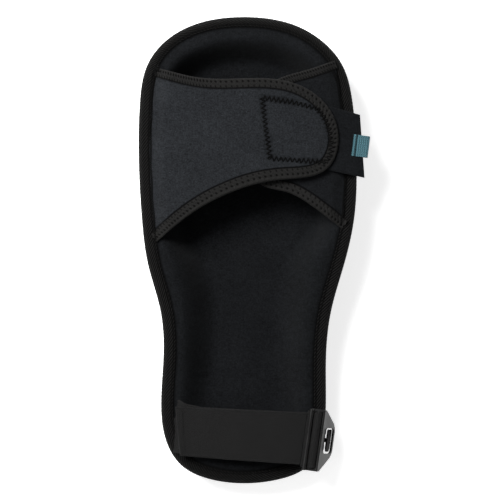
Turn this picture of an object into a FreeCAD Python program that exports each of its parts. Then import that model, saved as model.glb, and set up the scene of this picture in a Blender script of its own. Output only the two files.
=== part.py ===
import FreeCAD, Part

import math
import os

from FreeCAD import Placement, Rotation, Vector

# A long pad that protects the knee and the shin of somebody who kneels at work.
# It lies on its treads with the leg side up.  Origin: centre of the knee cap's tread.
# +X: right of the pad, seen from the leg side.  +Y: towards the thigh.  +Z: towards the leg.

doc = FreeCAD.newDocument("knee_pad")

DIMENSIONS = {
    # pad layers, thicknesses measured along Z
    "base_height": 4.0,
    "cap_thickness": 5.0,
    "cover_thickness": 1.6,
    "lining_thickness": 3.2,
    "layer_gap": 0.2,
    "rim_thickness": 9.0,
    "wall_width": 60.0,
    "wall_power": 2.4,
    "bolster_crest": 2.5,
    "crest_inset": 20.0,
    "crest_width": 9.0,
    "tape_thickness": 1.2,
    "tape_width": 11.5,
    "block_depth": 160.0,
    "tall": 120.0,
    # inserts
    "gel_width": 84.0,
    "gel_length": 116.0,
    "gel_thickness": 8.0,
    "shin_pad_width": 62.0,
    "shin_pad_length": 150.0,
    "shin_pad_thickness": 5.0,
    "shin_pad_y": -205.0,
    "gel_y": 8.0,
    # caps
    "knee_cap_width": 156.0,
    "knee_cap_length": 176.0,
    "knee_cap_y": 12.0,
    "shin_cap_width": 104.0,
    "shin_cap_length": 144.0,
    "shin_cap_y": -210.0,
    "groove_width": 3.0,
    "groove_depth": 1.8,
    "groove_pitch": 16.0,
    # flaps
    "flap_thickness": 3.8,
    "edging_thickness": 0.9,
    "edging_width": 8.5,
    "sewn_gap": 0.1,
    "tab_thickness": 2.0,
    # pull tab
    "webbing_width": 20.5,
    "webbing_thickness": 1.1,
    "webbing_gap": 0.45,
    "pull_length": 17.0,
    # elastic strap
    "strap_width": 50.0,
    "strap_thickness": 1.5,
    "patch_thickness": 1.2,
    "patch_length": 44.0,
    "strap_gap": 0.3,
    "bar_clearance": 0.35,
    "hinge_inboard": 10.4,
    # clip, in its own frame: bar along Y, plate towards +X
    "clip_length": 59.0,
    "clip_window": 54.0,
    "clip_left": 8.6,
    "clip_right": 6.6,
    "rail_height": 4.0,
    "bar_radius": 2.1,
    "keeper_radius": 1.8,
    "keeper_low": 2.8,
    "post_width": 3.2,
    "right_bar_width": 2.2,
    "plate_angle": 62.0,
    "plate_start": 5.2,
    "plate_length": 25.5,
    "plate_thickness": 2.2,
    "plate_tip_width": 27.0,
    "hole_start": 5.6,
    "hole_length": 17.0,
    "hole_width": 24.5,
    "hole_corner": 4.0,
    # stud
    "stud_y": 0.6,
    "stud_along": 10.3,
    "stem_radius": 2.1,
    "head_length": 21.5,
    "head_width": 7.6,
    "head_thickness": 1.7,
    "head_chamfer": 1.6,
    "fork_depth": 5.5,
    "fork_width": 2.6,
    "saddle_length": 24.0,
    "saddle_thickness": 1.5,
    "saddle_gap": 0.6,
    "saddle_top_leg": 8.0,
    "saddle_outer_leg": 10.5,
    "saddle_clear": 0.6,
    "head_clear": 0.35,
    "rivet_radius": 1.5,
    "rivet_spacing": 15.0,
    "rivet_head_radius": 2.8,
    "plate_long": 21.0,
    "plate_high": 5.0,
    "plate_inset": 7.0,
    "rivet_drop": 8.1,
    "rivet_head_height": 1.0,
}

sheet = doc.addObject("Spreadsheet::Sheet", "dims")
for row, (alias, value) in enumerate(DIMENSIONS.items(), start=1):
    sheet.set("A%d" % row, alias)
    sheet.set("B%d" % row, str(value))
    sheet.setAlias("B%d" % row, alias)
doc.recompute()


def size(alias):
    return float(sheet.get(alias))


# ---------------------------------------------------------------- helpers

def feature(name, shape, placement=None):
    made = doc.addObject("Part::Feature", name)
    made.Shape = shape
    if placement is not None:
        made.Placement = placement
    return made


def extruded(name, base, direction, length):
    """A solid along direction; length is an expression of the sheet's cells."""
    made = doc.addObject("Part::Extrusion", name)
    made.Base = base
    made.DirMode = "Custom"
    made.Dir = direction
    made.Solid = True
    made.setExpression("LengthFwd", length)
    return made


def boolean(kind, name, base, tool):
    made = doc.addObject("Part::" + kind, name)
    made.Base = base
    made.Tool = tool
    return made


def common(name, base, tool):
    return boolean("Common", name, base, tool)


def cut(name, base, tool):
    return boolean("Cut", name, base, tool)


def closed_spline(points):
    curve = Part.BSplineCurve()
    curve.interpolate([Vector(x, y, 0) for x, y in points], PeriodicFlag=True)
    return curve


def open_spline(points):
    curve = Part.BSplineCurve()
    curve.interpolate([Vector(x, y, 0) for x, y in points])
    return curve


def superellipse(width, length, centre, power=2.5, count=28):
    """Closed outline of a rounded rectangle, from the superellipse formula."""
    points = []
    for step in range(count):
        turn = 2 * math.pi * step / count
        c, s = math.cos(turn), math.sin(turn)
        x = width / 2 * math.copysign(abs(c) ** (2 / power), c)
        y = length / 2 * math.copysign(abs(s) ** (2 / power), s)
        points.append((centre[0] + x, centre[1] + y))
    return closed_spline(points)


def plan_prism(name, curve, bottom=-20.0):
    """Upright solid over the closed curve, from bottom to well above the pad."""
    wire = feature(name + "_plan", Part.Wire([curve.toShape()]))
    wire.Placement = Placement(Vector(0, 0, bottom), Rotation())
    return extruded(name, wire, Vector(0, 0, 1), "dims.tall")


def smooth(knots, y):
    """Catmull-Rom curve through the (y, height) knots, level beyond their ends."""
    if y <= knots[0][0]:
        return knots[0][1]
    if y >= knots[-1][0]:
        return knots[-1][1]
    spot = max(i for i, knot in enumerate(knots) if knot[0] <= y)
    y0, y1 = knots[spot][0], knots[spot + 1][0]
    before = knots[max(spot - 1, 0)]
    after = knots[min(spot + 2, len(knots) - 1)]
    slope0 = (knots[spot + 1][1] - before[1]) / (y1 - before[0]) * (y1 - y0)
    slope1 = (after[1] - knots[spot][1]) / (after[0] - y0) * (y1 - y0)
    p = (y - y0) / (y1 - y0)
    return ((2 * p ** 3 - 3 * p ** 2 + 1) * knots[spot][1] + (p ** 3 - 2 * p ** 2 + p) * slope0
            + (3 * p ** 2 - 2 * p ** 3) * knots[spot + 1][1] + (p ** 3 - p ** 2) * slope1)


# ---------------------------------------------------------------- the pad's shape

# Plan of the rim, clockwise from the thigh end: a wide knee part and a narrower shin part.
RIM = [
    (-1, 131.5), (48, 123), (74, 107), (91.5, 85.5), (101, 52), (105, -2), (103, -60),
    (93, -106), (81, -150), (76.5, -192), (76.5, -230), (73.3, -270), (60, -297.5),
    (30, -311.5), (-4, -315), (-38, -310), (-62, -297.5), (-76.5, -274), (-81.3, -237),
    (-78.7, -187), (-82, -147), (-93, -106), (-99, -62), (-102, -2), (-101, 48),
    (-94, 85), (-77, 108), (-51, 123.5),
]
RIM_HEIGHT = [
    (-325, 33), (-290, 38.6), (-252, 39.6), (-200, 45), (-140, 52), (-85, 57.5), (0, 59),
    (70, 58), (135, 49),
]
FLOOR_HEIGHT = [(-325, 25), (-250, 20), (-150, 22), (-95, 25), (-30, 21), (60, 21), (135, 30)]
# Where the bolster inside the rim starts to fall and where it meets the floor, as depths from the rim.
BOLSTER_START = [(-315, 11), (-160, 14), (-105, 19), (-62, 10), (20, 12), (80, 17), (132, 18)]
BOLSTER_END = [(-315, 46), (-160, 56), (-105, 60), (-62, 40), (20, 40), (80, 46), (132, 48)]

rim_curve = closed_spline(RIM)


def inset_rim(distance):
    """The rim's outline, moved inwards along its normals."""
    points = []
    for knot in rim_curve.getKnots()[:-1]:
        place = rim_curve.value(knot)
        along = rim_curve.tangent(knot)[0]
        points.append((place.x + along.y * distance, place.y - along.x * distance))
    return closed_spline(points)


def sampled(curve, count):
    first, last = curve.FirstParameter, curve.LastParameter
    return [curve.value(first + (last - first) * i / count) for i in range(count)]


rim_samples = sampled(rim_curve, 224)


def distance_inside(x, y):
    """Distance from (x, y) to the rim's outline, negative outside it."""
    nearest = 1e9
    inside = False
    for a, b in zip(rim_samples, rim_samples[1:] + rim_samples[:1]):
        dx, dy = b.x - a.x, b.y - a.y
        part = ((x - a.x) * dx + (y - a.y) * dy) / (dx * dx + dy * dy)
        part = max(0.0, min(1.0, part))
        nearest = min(nearest, math.hypot(x - a.x - part * dx, y - a.y - part * dy))
        if (a.y > y) != (b.y > y) and x < a.x + (y - a.y) * dx / dy:
            inside = not inside
    return nearest if inside else -nearest


def outer_height(depth, y):
    """Underside of the cover: flat in the middle, a wall that steepens towards the rim."""
    rim = smooth(RIM_HEIGHT, y) - size("rim_thickness") - size("base_height")
    wall = max(0.0, 1 - depth / size("wall_width")) ** size("wall_power")
    return size("base_height") + rim * wall


def inner_height(depth, y):
    """Top of the lining: a soft bolster inside the rim, then down to the floor."""
    rim = smooth(RIM_HEIGHT, y)
    start = smooth(BOLSTER_START, y)
    fall = (depth - start) / (smooth(BOLSTER_END, y) - start)
    fall = max(0.0, min(1.0, fall))
    fall = fall ** 3 * (fall * (6 * fall - 15) + 10)
    crest = math.exp(-((depth - size("crest_inset")) / size("crest_width")) ** 2)
    return rim - (rim - smooth(FLOOR_HEIGHT, y)) * fall + size("bolster_crest") * crest


# The height fields are interpolated over this grid, a little larger than the pad.
GRID_COLUMNS, GRID_ROWS = 33, 51
GRID_X = [-120 + 240 * i / (GRID_COLUMNS - 1) for i in range(GRID_COLUMNS)]
GRID_Y = [-330 + 476 * j / (GRID_ROWS - 1) for j in range(GRID_ROWS)]
OUTSIDE_REACH = 14.0
depths = [[max(-OUTSIDE_REACH, distance_inside(x, y)) for y in GRID_Y] for x in GRID_X]


def below_surface(name, height):
    """Everything below the surface z = height(depth, y)."""
    surface = Part.BSplineSurface()
    surface.interpolate([
        [Vector(x, y, height(depths[i][j], y)) for j, y in enumerate(GRID_Y)]
        for i, x in enumerate(GRID_X)
    ])
    return feature(name, surface.toShape().extrude(Vector(0, 0, -size("block_depth"))))


def moved_up(name, block, rise):
    """A copy of the block, raised by an expression of the sheet's cells."""
    made = feature(name, block.Shape)
    made.setExpression("Placement.Base.z", rise)
    return made


below_outer = below_surface("below_outer", outer_height)
below_inner = below_surface("below_inner", inner_height)


def layer(name, plan, lower, upper):
    return cut(name, common(name + "_upto", plan, upper), lower)


# ---------------------------------------------------------------- pad layers

stack_plan = plan_prism("stack_plan", inset_rim(size("tape_thickness") + size("layer_gap")))

cover = layer(
    "outer_cover", stack_plan, below_outer,
    moved_up("cover_top", below_outer, "dims.cover_thickness"))

lining = layer(
    "inner_lining", stack_plan,
    moved_up("lining_base", below_inner, "-dims.lining_thickness"), below_inner)

foam_blank = layer(
    "foam_blank", stack_plan,
    moved_up("foam_base", below_outer, "dims.cover_thickness + dims.layer_gap"),
    moved_up("foam_top", below_inner, "-dims.lining_thickness - dims.layer_gap"))


def insert(name, width, length, y, thickness):
    """A soft insert let into the foam's top, and the pocket that holds it."""
    gap = size("layer_gap")
    plan = plan_prism(name + "_body", superellipse(size(width), size(length), (0, y)))
    grown = plan_prism(
        name + "_room", superellipse(size(width) + 2 * gap, size(length) + 2 * gap, (0, y)))
    top = moved_up(name + "_top", below_inner, "-dims.lining_thickness - 2 * dims.layer_gap")
    base = moved_up(
        name + "_base", below_inner,
        "-dims.lining_thickness - 2 * dims.layer_gap - dims." + thickness)
    floor = moved_up(
        name + "_floor", below_inner,
        "-dims.lining_thickness - 3 * dims.layer_gap - dims." + thickness)
    return layer(name, plan, base, top), cut(name + "_pocket", grown, floor)


gel, gel_pocket = insert("knee_gel_pad", "gel_width", "gel_length", size("gel_y"), "gel_thickness")
shin_pad, shin_pocket = insert(
    "shin_cushion", "shin_pad_width", "shin_pad_length", size("shin_pad_y"),
    "shin_pad_thickness")
foam_pocketed = cut("foam_pocketed", cut("foam_with_knee", foam_blank, gel_pocket), shin_pocket)

tape_skin = layer(
    "tape_skin", plan_prism("tape_plan", rim_curve),
    moved_up("tape_low", below_outer, "-dims.tape_thickness"),
    moved_up("tape_high", below_inner, "dims.tape_thickness"))
tape_hollow = layer(
    "tape_hollow", plan_prism("tape_core", inset_rim(size("tape_thickness"))),
    moved_up("tape_core_low", below_outer, "-dims.layer_gap"),
    moved_up("tape_core_high", below_inner, "dims.layer_gap"))
tape_ring = cut("tape_ring", tape_skin, plan_prism("tape_inside", inset_rim(size("tape_width"))))
tape = cut("tape_blank", tape_ring, tape_hollow)


# ---------------------------------------------------------------- caps

def cap(name, width, length, y, grooves):
    """Moulded rubber cap under the cover, flat where it stands, with cross grooves."""
    plan = plan_prism(name + "_body", superellipse(width, length, (0, y)), bottom=0.0)
    shell = layer(
        name + "_shell", plan,
        moved_up(name + "_low", below_outer, "-dims.cap_thickness"),
        moved_up(name + "_high", below_outer, "-dims.layer_gap"))
    rows = []
    for step in range(grooves):
        row = doc.addObject("Part::Box", "%s_groove_%d" % (name, step + 1))
        row.setExpression("Length", "dims.%s_width" % name)
        row.setExpression("Width", "dims.groove_width")
        row.setExpression("Height", "dims.groove_depth")
        offset = (step - (grooves - 1) / 2) * size("groove_pitch")
        row.Placement.Base = Vector(-width / 2, y + offset - size("groove_width") / 2, 0)
        rows.append(row)
    treads = doc.addObject("Part::Compound", name + "_grooves")
    treads.Links = rows
    return cut(name, shell, treads)


knee_cap = cap(
    "knee_cap", size("knee_cap_width"), size("knee_cap_length"), size("knee_cap_y"), 8)
shin_cap = cap(
    "shin_cap", size("shin_cap_width"), size("shin_cap_length"), size("shin_cap_y"), 6)


# ---------------------------------------------------------------- flaps

class Arch:
    """A circular arch over X, through three (x, z) points; bands lie on it."""

    def __init__(self, left, middle, right):
        (x1, z1), (x2, z2), (x3, z3) = left, middle, right
        a, b, c = x2 - x1, z2 - z1, x3 - x1
        d = z3 - z1
        scale = 2 * (a * d - b * c)
        self.x = x1 + (d * (a * a + b * b) - b * (c * c + d * d)) / scale
        self.z = z1 + (a * (c * c + d * d) - c * (a * a + b * b)) / scale
        self.radius = math.hypot(x1 - self.x, z1 - self.z)

    def height(self, x, rise=0.0):
        """Height at x of the arch moved outwards by rise."""
        radius = self.radius + rise
        return self.z + math.sqrt(radius ** 2 - (x - self.x) ** 2)

    def slope(self, x):
        """Angle of the arch at x, in degrees, positive where it climbs towards +X."""
        return -math.degrees(math.asin((x - self.x) / self.radius))

    def edge(self, x_from, x_to, rise):
        spots = [x_from, (x_from + x_to) / 2, x_to]
        return Part.Arc(*[Vector(x, 0, self.height(x, rise)) for x in spots])

    def band(self, name, x_from, x_to, low, high, y_from=-120.0):
        """Solid strip of the arch between the offsets low and high, wide along Y."""
        lower = self.edge(x_from, x_to, low)
        upper = self.edge(x_from, x_to, high)
        ends = [
            Part.LineSegment(lower.EndPoint, upper.EndPoint),
            Part.LineSegment(upper.StartPoint, lower.StartPoint),
        ]
        wire = Part.Wire(Part.__sortEdges__([e.toShape() for e in [lower, upper] + ends]))
        profile = feature(name + "_profile", wire)
        profile.Placement = Placement(Vector(0, y_from, 0), Rotation())
        return extruded(name, profile, Vector(0, 1, 0), "2 * dims.tall")


left_arch = Arch((-93, 62.5), (-2.5, 74.6), (88, 69.9))
right_arch = Arch((-93, 62.2), (0.5, 66.2), (94, 62.2))

# Free edge of each flap, from one end of its seam round the tip to the other.
LEFT_EDGE = [
    (-84.7, 82.2), (-59.3, 75), (-41, 71.6), (16, 71.2), (47, 66), (74.6, 47.7), (87.7, 14.2),
    (77.5, -13.5), (31.6, -25), (-13.4, -36.5), (-44, -51.8), (-84.7, -83.4),
]
LEFT_SEAM = (-91.5, 2)
RIGHT_EDGE = [
    (91, -71), (62, -49), (39, -36.5), (15.3, -29.8), (1, -12), (-5, 22), (10, 56), (30, 71),
    (57, 79.5), (84, 89),
]
RIGHT_SEAM = (94.0, 8)


def plan_face_wire(curve, seam):
    start = curve.value(curve.FirstParameter)
    end = curve.value(curve.LastParameter)
    back = Part.Arc(end, Vector(seam[0], seam[1], 0), start)
    return Part.Wire([curve.toShape(), back.toShape()])


def edge_strip_wire(curve, width):
    """Strip of constant width inside the free edge (clockwise edges only)."""
    count = 17
    first, last = curve.FirstParameter, curve.LastParameter
    inner_points = []
    for step in range(count):
        spot = first + (last - first) * step / (count - 1)
        place = curve.value(spot)
        along = curve.tangent(spot)[0]
        inner_points.append((place.x + along.y * width, place.y - along.x * width))
    inner = open_spline(inner_points)
    ends = [
        Part.LineSegment(curve.value(first), inner.value(inner.FirstParameter)),
        Part.LineSegment(curve.value(last), inner.value(inner.LastParameter)),
    ]
    edges = [part.toShape() for part in [curve, inner] + ends]
    return Part.Wire(Part.__sortEdges__(edges))


def upright(name, wire):
    return extruded(name, feature(name + "_plan", wire), Vector(0, 0, 1), "dims.tall")


def flap(name, arch, edge_points, seam, x_from, x_to):
    curve = open_spline(edge_points)
    thick = size("flap_thickness")
    body = common(
        name, arch.band(name + "_band", x_from, x_to, 0.0, thick),
        upright(name + "_body", plan_face_wire(curve, seam)))
    low = thick + size("sewn_gap")
    high = low + size("edging_thickness")
    edging = common(
        name + "_edging", arch.band(name + "_edge_band", x_from, x_to, low, high),
        upright(name + "_edge_body", edge_strip_wire(curve, size("edging_width"))))
    return body, edging


left_flap, left_edging = flap("left_flap", left_arch, LEFT_EDGE, LEFT_SEAM, -96, 96)
right_flap, right_edging = flap("right_flap", right_arch, RIGHT_EDGE, RIGHT_SEAM, -30, 98)

# Hook tape under the left flap's tip: a sewn part, and a free tongue past the tip.
TAB_SEWN = [(14.4, 53.5), (88.5, 43.0), (88.5, -17.7), (21.0, -6.0)]
TAB_FREE = [(88.9, 42.3), (108.1, 37.2), (112.4, -22.6), (88.9, -17.8)]


def polygon_wire(points):
    corners = [Vector(x, y, 0) for x, y in points]
    return Part.makePolygon(corners + corners[:1])


tab_high = -size("sewn_gap")
tab_low = tab_high - size("tab_thickness")
hook_tab = common(
    "hook_tab", left_arch.band("tab_band", 10, 92, tab_low, tab_high),
    upright("tab_body", polygon_wire(TAB_SEWN)))
hook_tab_end = common(
    "hook_tab_end", left_arch.band("tongue_band", 86, 116, tab_low, tab_high),
    upright("tongue_body", polygon_wire(TAB_FREE)))

# Pull tab: webbing folded over the tongue's end, sewn on both faces.
PULL_X = 100.0
PULL_Y = 8.5
PULL_TURN = -7.0


def fold_wire(length, gap, thickness):
    """Side view of a folded strip: two legs along X and a half-round fold at +X."""
    outer = gap / 2 + thickness
    inner = gap / 2
    end = length - outer
    return Part.Wire([
        Part.LineSegment(Vector(0, 0, outer), Vector(end, 0, outer)).toShape(),
        Part.Arc(Vector(end, 0, outer), Vector(length, 0, 0), Vector(end, 0, -outer)).toShape(),
        Part.LineSegment(Vector(end, 0, -outer), Vector(0, 0, -outer)).toShape(),
        Part.LineSegment(Vector(0, 0, -outer), Vector(0, 0, -inner)).toShape(),
        Part.LineSegment(Vector(0, 0, -inner), Vector(end, 0, -inner)).toShape(),
        Part.Arc(Vector(end, 0, -inner), Vector(end + inner, 0, 0), Vector(end, 0, inner)).toShape(),
        Part.LineSegment(Vector(end, 0, inner), Vector(0, 0, inner)).toShape(),
        Part.LineSegment(Vector(0, 0, inner), Vector(0, 0, outer)).toShape(),
    ])


pull_gap = size("tab_thickness") + 2 * size("webbing_gap")
pull_profile = feature(
    "pull_profile", fold_wire(size("pull_length"), pull_gap, size("webbing_thickness")))
pull_strip = extruded("pull_strip", pull_profile, Vector(0, 1, 0), "dims.webbing_width")
pull_middle = left_arch.height(PULL_X, tab_low + size("tab_thickness") / 2)
pull_slope = left_arch.slope(PULL_X + size("pull_length") / 2)
pull_rotation = Rotation(Vector(0, 0, 1), PULL_TURN) * Rotation(Vector(0, 1, 0), -pull_slope)
pull_half = pull_rotation.multVec(Vector(0, size("webbing_width") / 2, 0))
pull_strip.Placement = Placement(Vector(PULL_X, PULL_Y, pull_middle) - pull_half, pull_rotation)


# ---------------------------------------------------------------- clip frame on the right rim

CLIP_Y = -272.0
CLIP_TURN = -8.0
BAR_INBOARD = 7.3
BAR_ABOVE_TAPE = 12.0


def rim_x_at(y):
    """X of the rim's right edge at y."""
    for a, b in zip(rim_samples, rim_samples[1:]):
        if a.x > 0 and b.x > 0 and (a.y - y) * (b.y - y) <= 0:
            return a.x + (b.x - a.x) * (y - a.y) / (b.y - a.y)
    raise ValueError("the rim's right edge has no point at this y")


tape_top = smooth(RIM_HEIGHT, CLIP_Y) + size("tape_thickness")
bar_centre = Vector(rim_x_at(CLIP_Y) - BAR_INBOARD, CLIP_Y, tape_top + BAR_ABOVE_TAPE)
clip_place = Placement(bar_centre, Rotation(Vector(0, 0, 1), CLIP_TURN))


def in_clip_frame(x, y, z):
    return clip_place.multVec(Vector(x, y, z))


def plane_of(body, role):
    return next(f for f in body.Origin.OriginFeatures if f.Role == role)


def sketch_on(body, name, role, offset=None):
    sketch = body.newObject("Sketcher::SketchObject", name)
    sketch.AttachmentSupport = [(plane_of(body, role), "")]
    sketch.MapMode = "FlatFace"
    if offset is not None:
        sketch.AttachmentOffset = offset
    return sketch


def draw(sketch, corners):
    """Closed outline of straight lines through the corners."""
    for a, b in zip(corners, corners[1:] + corners[:1]):
        sketch.addGeometry(Part.LineSegment(Vector(*a, 0), Vector(*b, 0)), False)


def draw_rectangle(sketch, x0, x1, y0, y1):
    draw(sketch, [(x0, y0), (x1, y0), (x1, y1), (x0, y1)])


def draw_rounded(sketch, x0, x1, y0, y1, radius):
    """Rectangle whose corners are quarter circles."""
    corners = [(x0, y0, 180), (x1, y0, 270), (x1, y1, 0), (x0, y1, 90)]
    arcs = []
    for x, y, start in corners:
        centre = Vector(x + radius if x == x0 else x - radius, y + radius if y == y0 else y - radius, 0)
        circle = Part.Circle(centre, Vector(0, 0, 1), radius)
        arcs.append(Part.ArcOfCircle(circle, math.radians(start), math.radians(start + 90)))
    for arc, following in zip(arcs, arcs[1:] + arcs[:1]):
        sketch.addGeometry(arc, False)
        sketch.addGeometry(Part.LineSegment(arc.EndPoint, following.StartPoint), False)


def pad(body, name, sketch, length, both_ways=False):
    made = body.newObject("PartDesign::Pad", name)
    made.Profile = sketch
    made.Midplane = both_ways
    made.setExpression("Length", length)
    body.Tip = made
    return made


# ---------------------------------------------------------------- clip

half_rail = size("rail_height") / 2
half_clip = size("clip_length") / 2
half_window = size("clip_window") / 2
plate_frame = Placement(
    Vector(size("plate_start"), 0, -half_rail), Rotation(Vector(0, 1, 0), size("plate_angle")))

clip = doc.addObject("PartDesign::Body", "strap_clip")

rail_sketch = sketch_on(clip, "rail_outline", "XY_Plane")
left, right = -size("clip_left"), size("clip_right")
bar_left = right - size("right_bar_width")
draw(rail_sketch, [
    (left, -half_clip), (right, -half_clip), (right, half_clip), (left, half_clip),
    (left, half_window), (bar_left, half_window), (bar_left, -half_window), (left, -half_window),
])
pad(clip, "rails", rail_sketch, "dims.rail_height", both_ways=True)

bar_sketch = sketch_on(clip, "bar_outline", "XZ_Plane")
bar_sketch.addGeometry(Part.Circle(Vector(0, 0, 0), Vector(0, 0, 1), size("bar_radius")), False)
pad(clip, "centre_bar", bar_sketch, "dims.clip_window + 2", both_ways=True)

keeper_centre = (left + size("keeper_radius"), size("keeper_low") + size("keeper_radius"))
half_post = size("post_width") / 2
post_sketch = sketch_on(
    clip, "post_outline", "XY_Plane", Placement(Vector(0, 0, half_rail - 1), Rotation()))
for side in (-1, 1):
    near, far = sorted((side * half_window, side * half_clip))
    draw_rectangle(post_sketch, keeper_centre[0] - half_post, keeper_centre[0] + half_post, near, far)
pad(clip, "keeper_posts", post_sketch, "dims.keeper_low + dims.keeper_radius - dims.rail_height / 2 + 1")

keeper_sketch = sketch_on(clip, "keeper_outline", "XZ_Plane")
keeper_sketch.addGeometry(
    Part.Circle(Vector(*keeper_centre, 0), Vector(0, 0, 1), size("keeper_radius")), False)
pad(clip, "keeper_bar", keeper_sketch, "dims.clip_length", both_ways=True)

plate_sketch = sketch_on(clip, "plate_outline", "XY_Plane", plate_frame)
tip = size("plate_length")
half_tip = size("plate_tip_width") / 2
draw(plate_sketch, [
    (-1.5, -half_clip), (2, -half_clip), (tip - 4, -half_tip - 3), (tip - 1, -half_tip + 1),
    (tip, -half_tip + 5), (tip, half_tip - 5), (tip - 1, half_tip - 1),
    (tip - 4, half_tip + 3), (2, half_clip), (-1.5, half_clip),
])
pad(clip, "hook_plate", plate_sketch, "dims.plate_thickness")

hole_sketch = sketch_on(clip, "hole_outline", "XY_Plane", plate_frame)
draw_rounded(
    hole_sketch, size("hole_start"), size("hole_start") + size("hole_length"),
    -size("hole_width") / 2, size("hole_width") / 2, size("hole_corner"))
hole = clip.newObject("PartDesign::Pocket", "stud_hole")
hole.Profile = hole_sketch
hole.Reversed = True
hole.setExpression("Length", "dims.plate_thickness + 1")
clip.Tip = hole
clip.Placement = clip_place


# ---------------------------------------------------------------- stud, plate and rivets

outer_face = BAR_INBOARD + size("saddle_gap") + size("saddle_thickness")
saddle_low = -BAR_ABOVE_TAPE + size("saddle_gap")
saddle_top = saddle_low + size("saddle_thickness")


def plate_underside(x):
    """Height of the hook plate's underside above the bar's axis, at x of the clip's frame."""
    return -half_rail - (x - size("plate_start")) * math.tan(math.radians(size("plate_angle")))


drop = size("saddle_clear") / math.cos(math.radians(size("plate_angle")))
chamfer_low = plate_underside(outer_face) - drop
chamfer_x = outer_face - (saddle_top - chamfer_low) / math.tan(math.radians(size("plate_angle")))

stud = doc.addObject("PartDesign::Body", "stud_body")
inner_face = outer_face - size("saddle_thickness")
saddle_sketch = sketch_on(stud, "saddle_outline", "XZ_Plane")
draw(saddle_sketch, [
    (inner_face - size("saddle_top_leg"), saddle_low), (inner_face, saddle_low),
    (inner_face, saddle_low - size("saddle_outer_leg")),
    (outer_face, saddle_low - size("saddle_outer_leg")), (outer_face, chamfer_low),
    (chamfer_x, saddle_top), (inner_face - size("saddle_top_leg"), saddle_top),
])
pad(stud, "saddle", saddle_sketch, "dims.saddle_length", both_ways=True)

STEM_ROOT = 1.8
stem_frame = plate_frame * Placement(Vector(size("stud_along"), 0, -STEM_ROOT), Rotation())
stem_sketch = sketch_on(stud, "stem_outline", "XY_Plane", stem_frame)
stem_sketch.addGeometry(Part.Circle(Vector(0, 0, 0), Vector(0, 0, 1), size("stem_radius")), False)
pad(stud, "stem", stem_sketch, "dims.plate_thickness + dims.head_clear + %s" % (STEM_ROOT + 0.2))

head_lift = size("plate_thickness") + size("head_clear")
head_frame = plate_frame * Placement(Vector(size("stud_along"), 0, head_lift), Rotation())
head_sketch = sketch_on(stud, "head_outline", "XY_Plane", head_frame)
half_wide, half_long = size("head_width") / 2, size("head_length") / 2
half_fork, chamfer = size("fork_width") / 2, size("head_chamfer")
fork_root = half_long - size("fork_depth")
right_half = [
    (half_wide - chamfer, -half_long), (half_wide, 2 * chamfer - half_long),
    (half_wide, half_long - chamfer), (half_wide - chamfer / 2, half_long),
    (half_fork, half_long), (half_fork / 3, fork_root)]
draw(head_sketch, right_half + [(-x, y) for x, y in reversed(right_half)])
pad(stud, "head", head_sketch, "dims.head_thickness")

stud_place = clip_place * Placement(Vector(0, size("stud_y"), 0), Rotation())
stud.Placement = stud_place

rivet_z = saddle_low - size("rivet_drop")
plate_x = BAR_INBOARD - size("plate_inset")


def rivet_cylinder(name, y, radius, start, length):
    """Cylinder along the stud frame's X axis."""
    made = doc.addObject("Part::Cylinder", name)
    made.setExpression("Radius", radius)
    made.Height = length
    turn = Rotation(Vector(0, 1, 0), 90)
    made.Placement = stud_place * Placement(Vector(start, y, rivet_z), turn)
    return made


rivet_list = []
room_list = []
for number, side in enumerate((-1, 1), start=1):
    y = side * size("rivet_spacing") / 2
    shank = rivet_cylinder(
        "rivet_shank_%d" % number, y, "dims.rivet_radius", plate_x, outer_face - plate_x)
    head = rivet_cylinder(
        "rivet_head_%d" % number, y, "dims.rivet_head_radius", outer_face,
        size("rivet_head_height"))
    room_list.append(rivet_cylinder(
        "rivet_room_%d" % number, y, "dims.rivet_radius + dims.layer_gap / 2",
        plate_x - size("layer_gap"), outer_face - plate_x + size("layer_gap")))
    whole = boolean("Fuse", "rivet_%d" % number, shank, head)
    rivet_list.append(whole)
rivets = doc.addObject("Part::Compound", "stud_rivets")
rivets.Links = rivet_list
rivet_room = doc.addObject("Part::Compound", "rivet_room")
rivet_room.Links = room_list

plate_box = doc.addObject("Part::Box", "plate_blank")
plate_box.setExpression("Length", "dims.saddle_thickness")
plate_box.setExpression("Width", "dims.plate_long")
plate_box.setExpression("Height", "dims.plate_high")
plate_box.Placement = stud_place * Placement(
    Vector(plate_x, -size("plate_long") / 2, rivet_z - size("plate_high") / 2), Rotation())
backing_plate = cut("stud_backing_plate", plate_box, rivet_room)
plate_room = doc.addObject("Part::Box", "plate_room")
plate_room.setExpression("Length", "dims.saddle_thickness + 2 * dims.layer_gap")
plate_room.setExpression("Width", "dims.plate_long + 2 * dims.layer_gap")
plate_room.setExpression("Height", "dims.plate_high + 2 * dims.layer_gap")
grow = size("layer_gap")
plate_room.Placement = plate_box.Placement * Placement(Vector(-grow, -grow, -grow), Rotation())

foam = cut("foam_core", cut("foam_riveted", foam_pocketed, plate_room), rivet_room)
binding = cut("edge_binding", tape, rivet_room)
drilled_stud = cut("side_stud", stud, rivet_room)


# ---------------------------------------------------------------- elastic strap

hinge_x = -size("hinge_inboard")
SEAM_GAP = 0.15
loop_radius = size("bar_radius") + size("bar_clearance") + size("strap_thickness") / 2
leg_z = bar_centre.z - loop_radius - size("strap_thickness") / 2
strap_arch = Arch((-69.5, 43.6), (-7, 48.8), (in_clip_frame(hinge_x, 0, 0).x, leg_z))
half_strap = size("strap_width") / 2
strap_right = [
    in_clip_frame(hinge_x - SEAM_GAP, half_strap, 0), in_clip_frame(hinge_x - SEAM_GAP, -half_strap, 0)]
right_points = [(corner.x, corner.y) for corner in strap_right]
BASE_LEFT = [(-69.5, -285.0), (-69.5, -234.5), (-57.0, -237.5)]
RETURN_LEFT = [(-63.0, -287.2), (-67.5, -240.3)]

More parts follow.
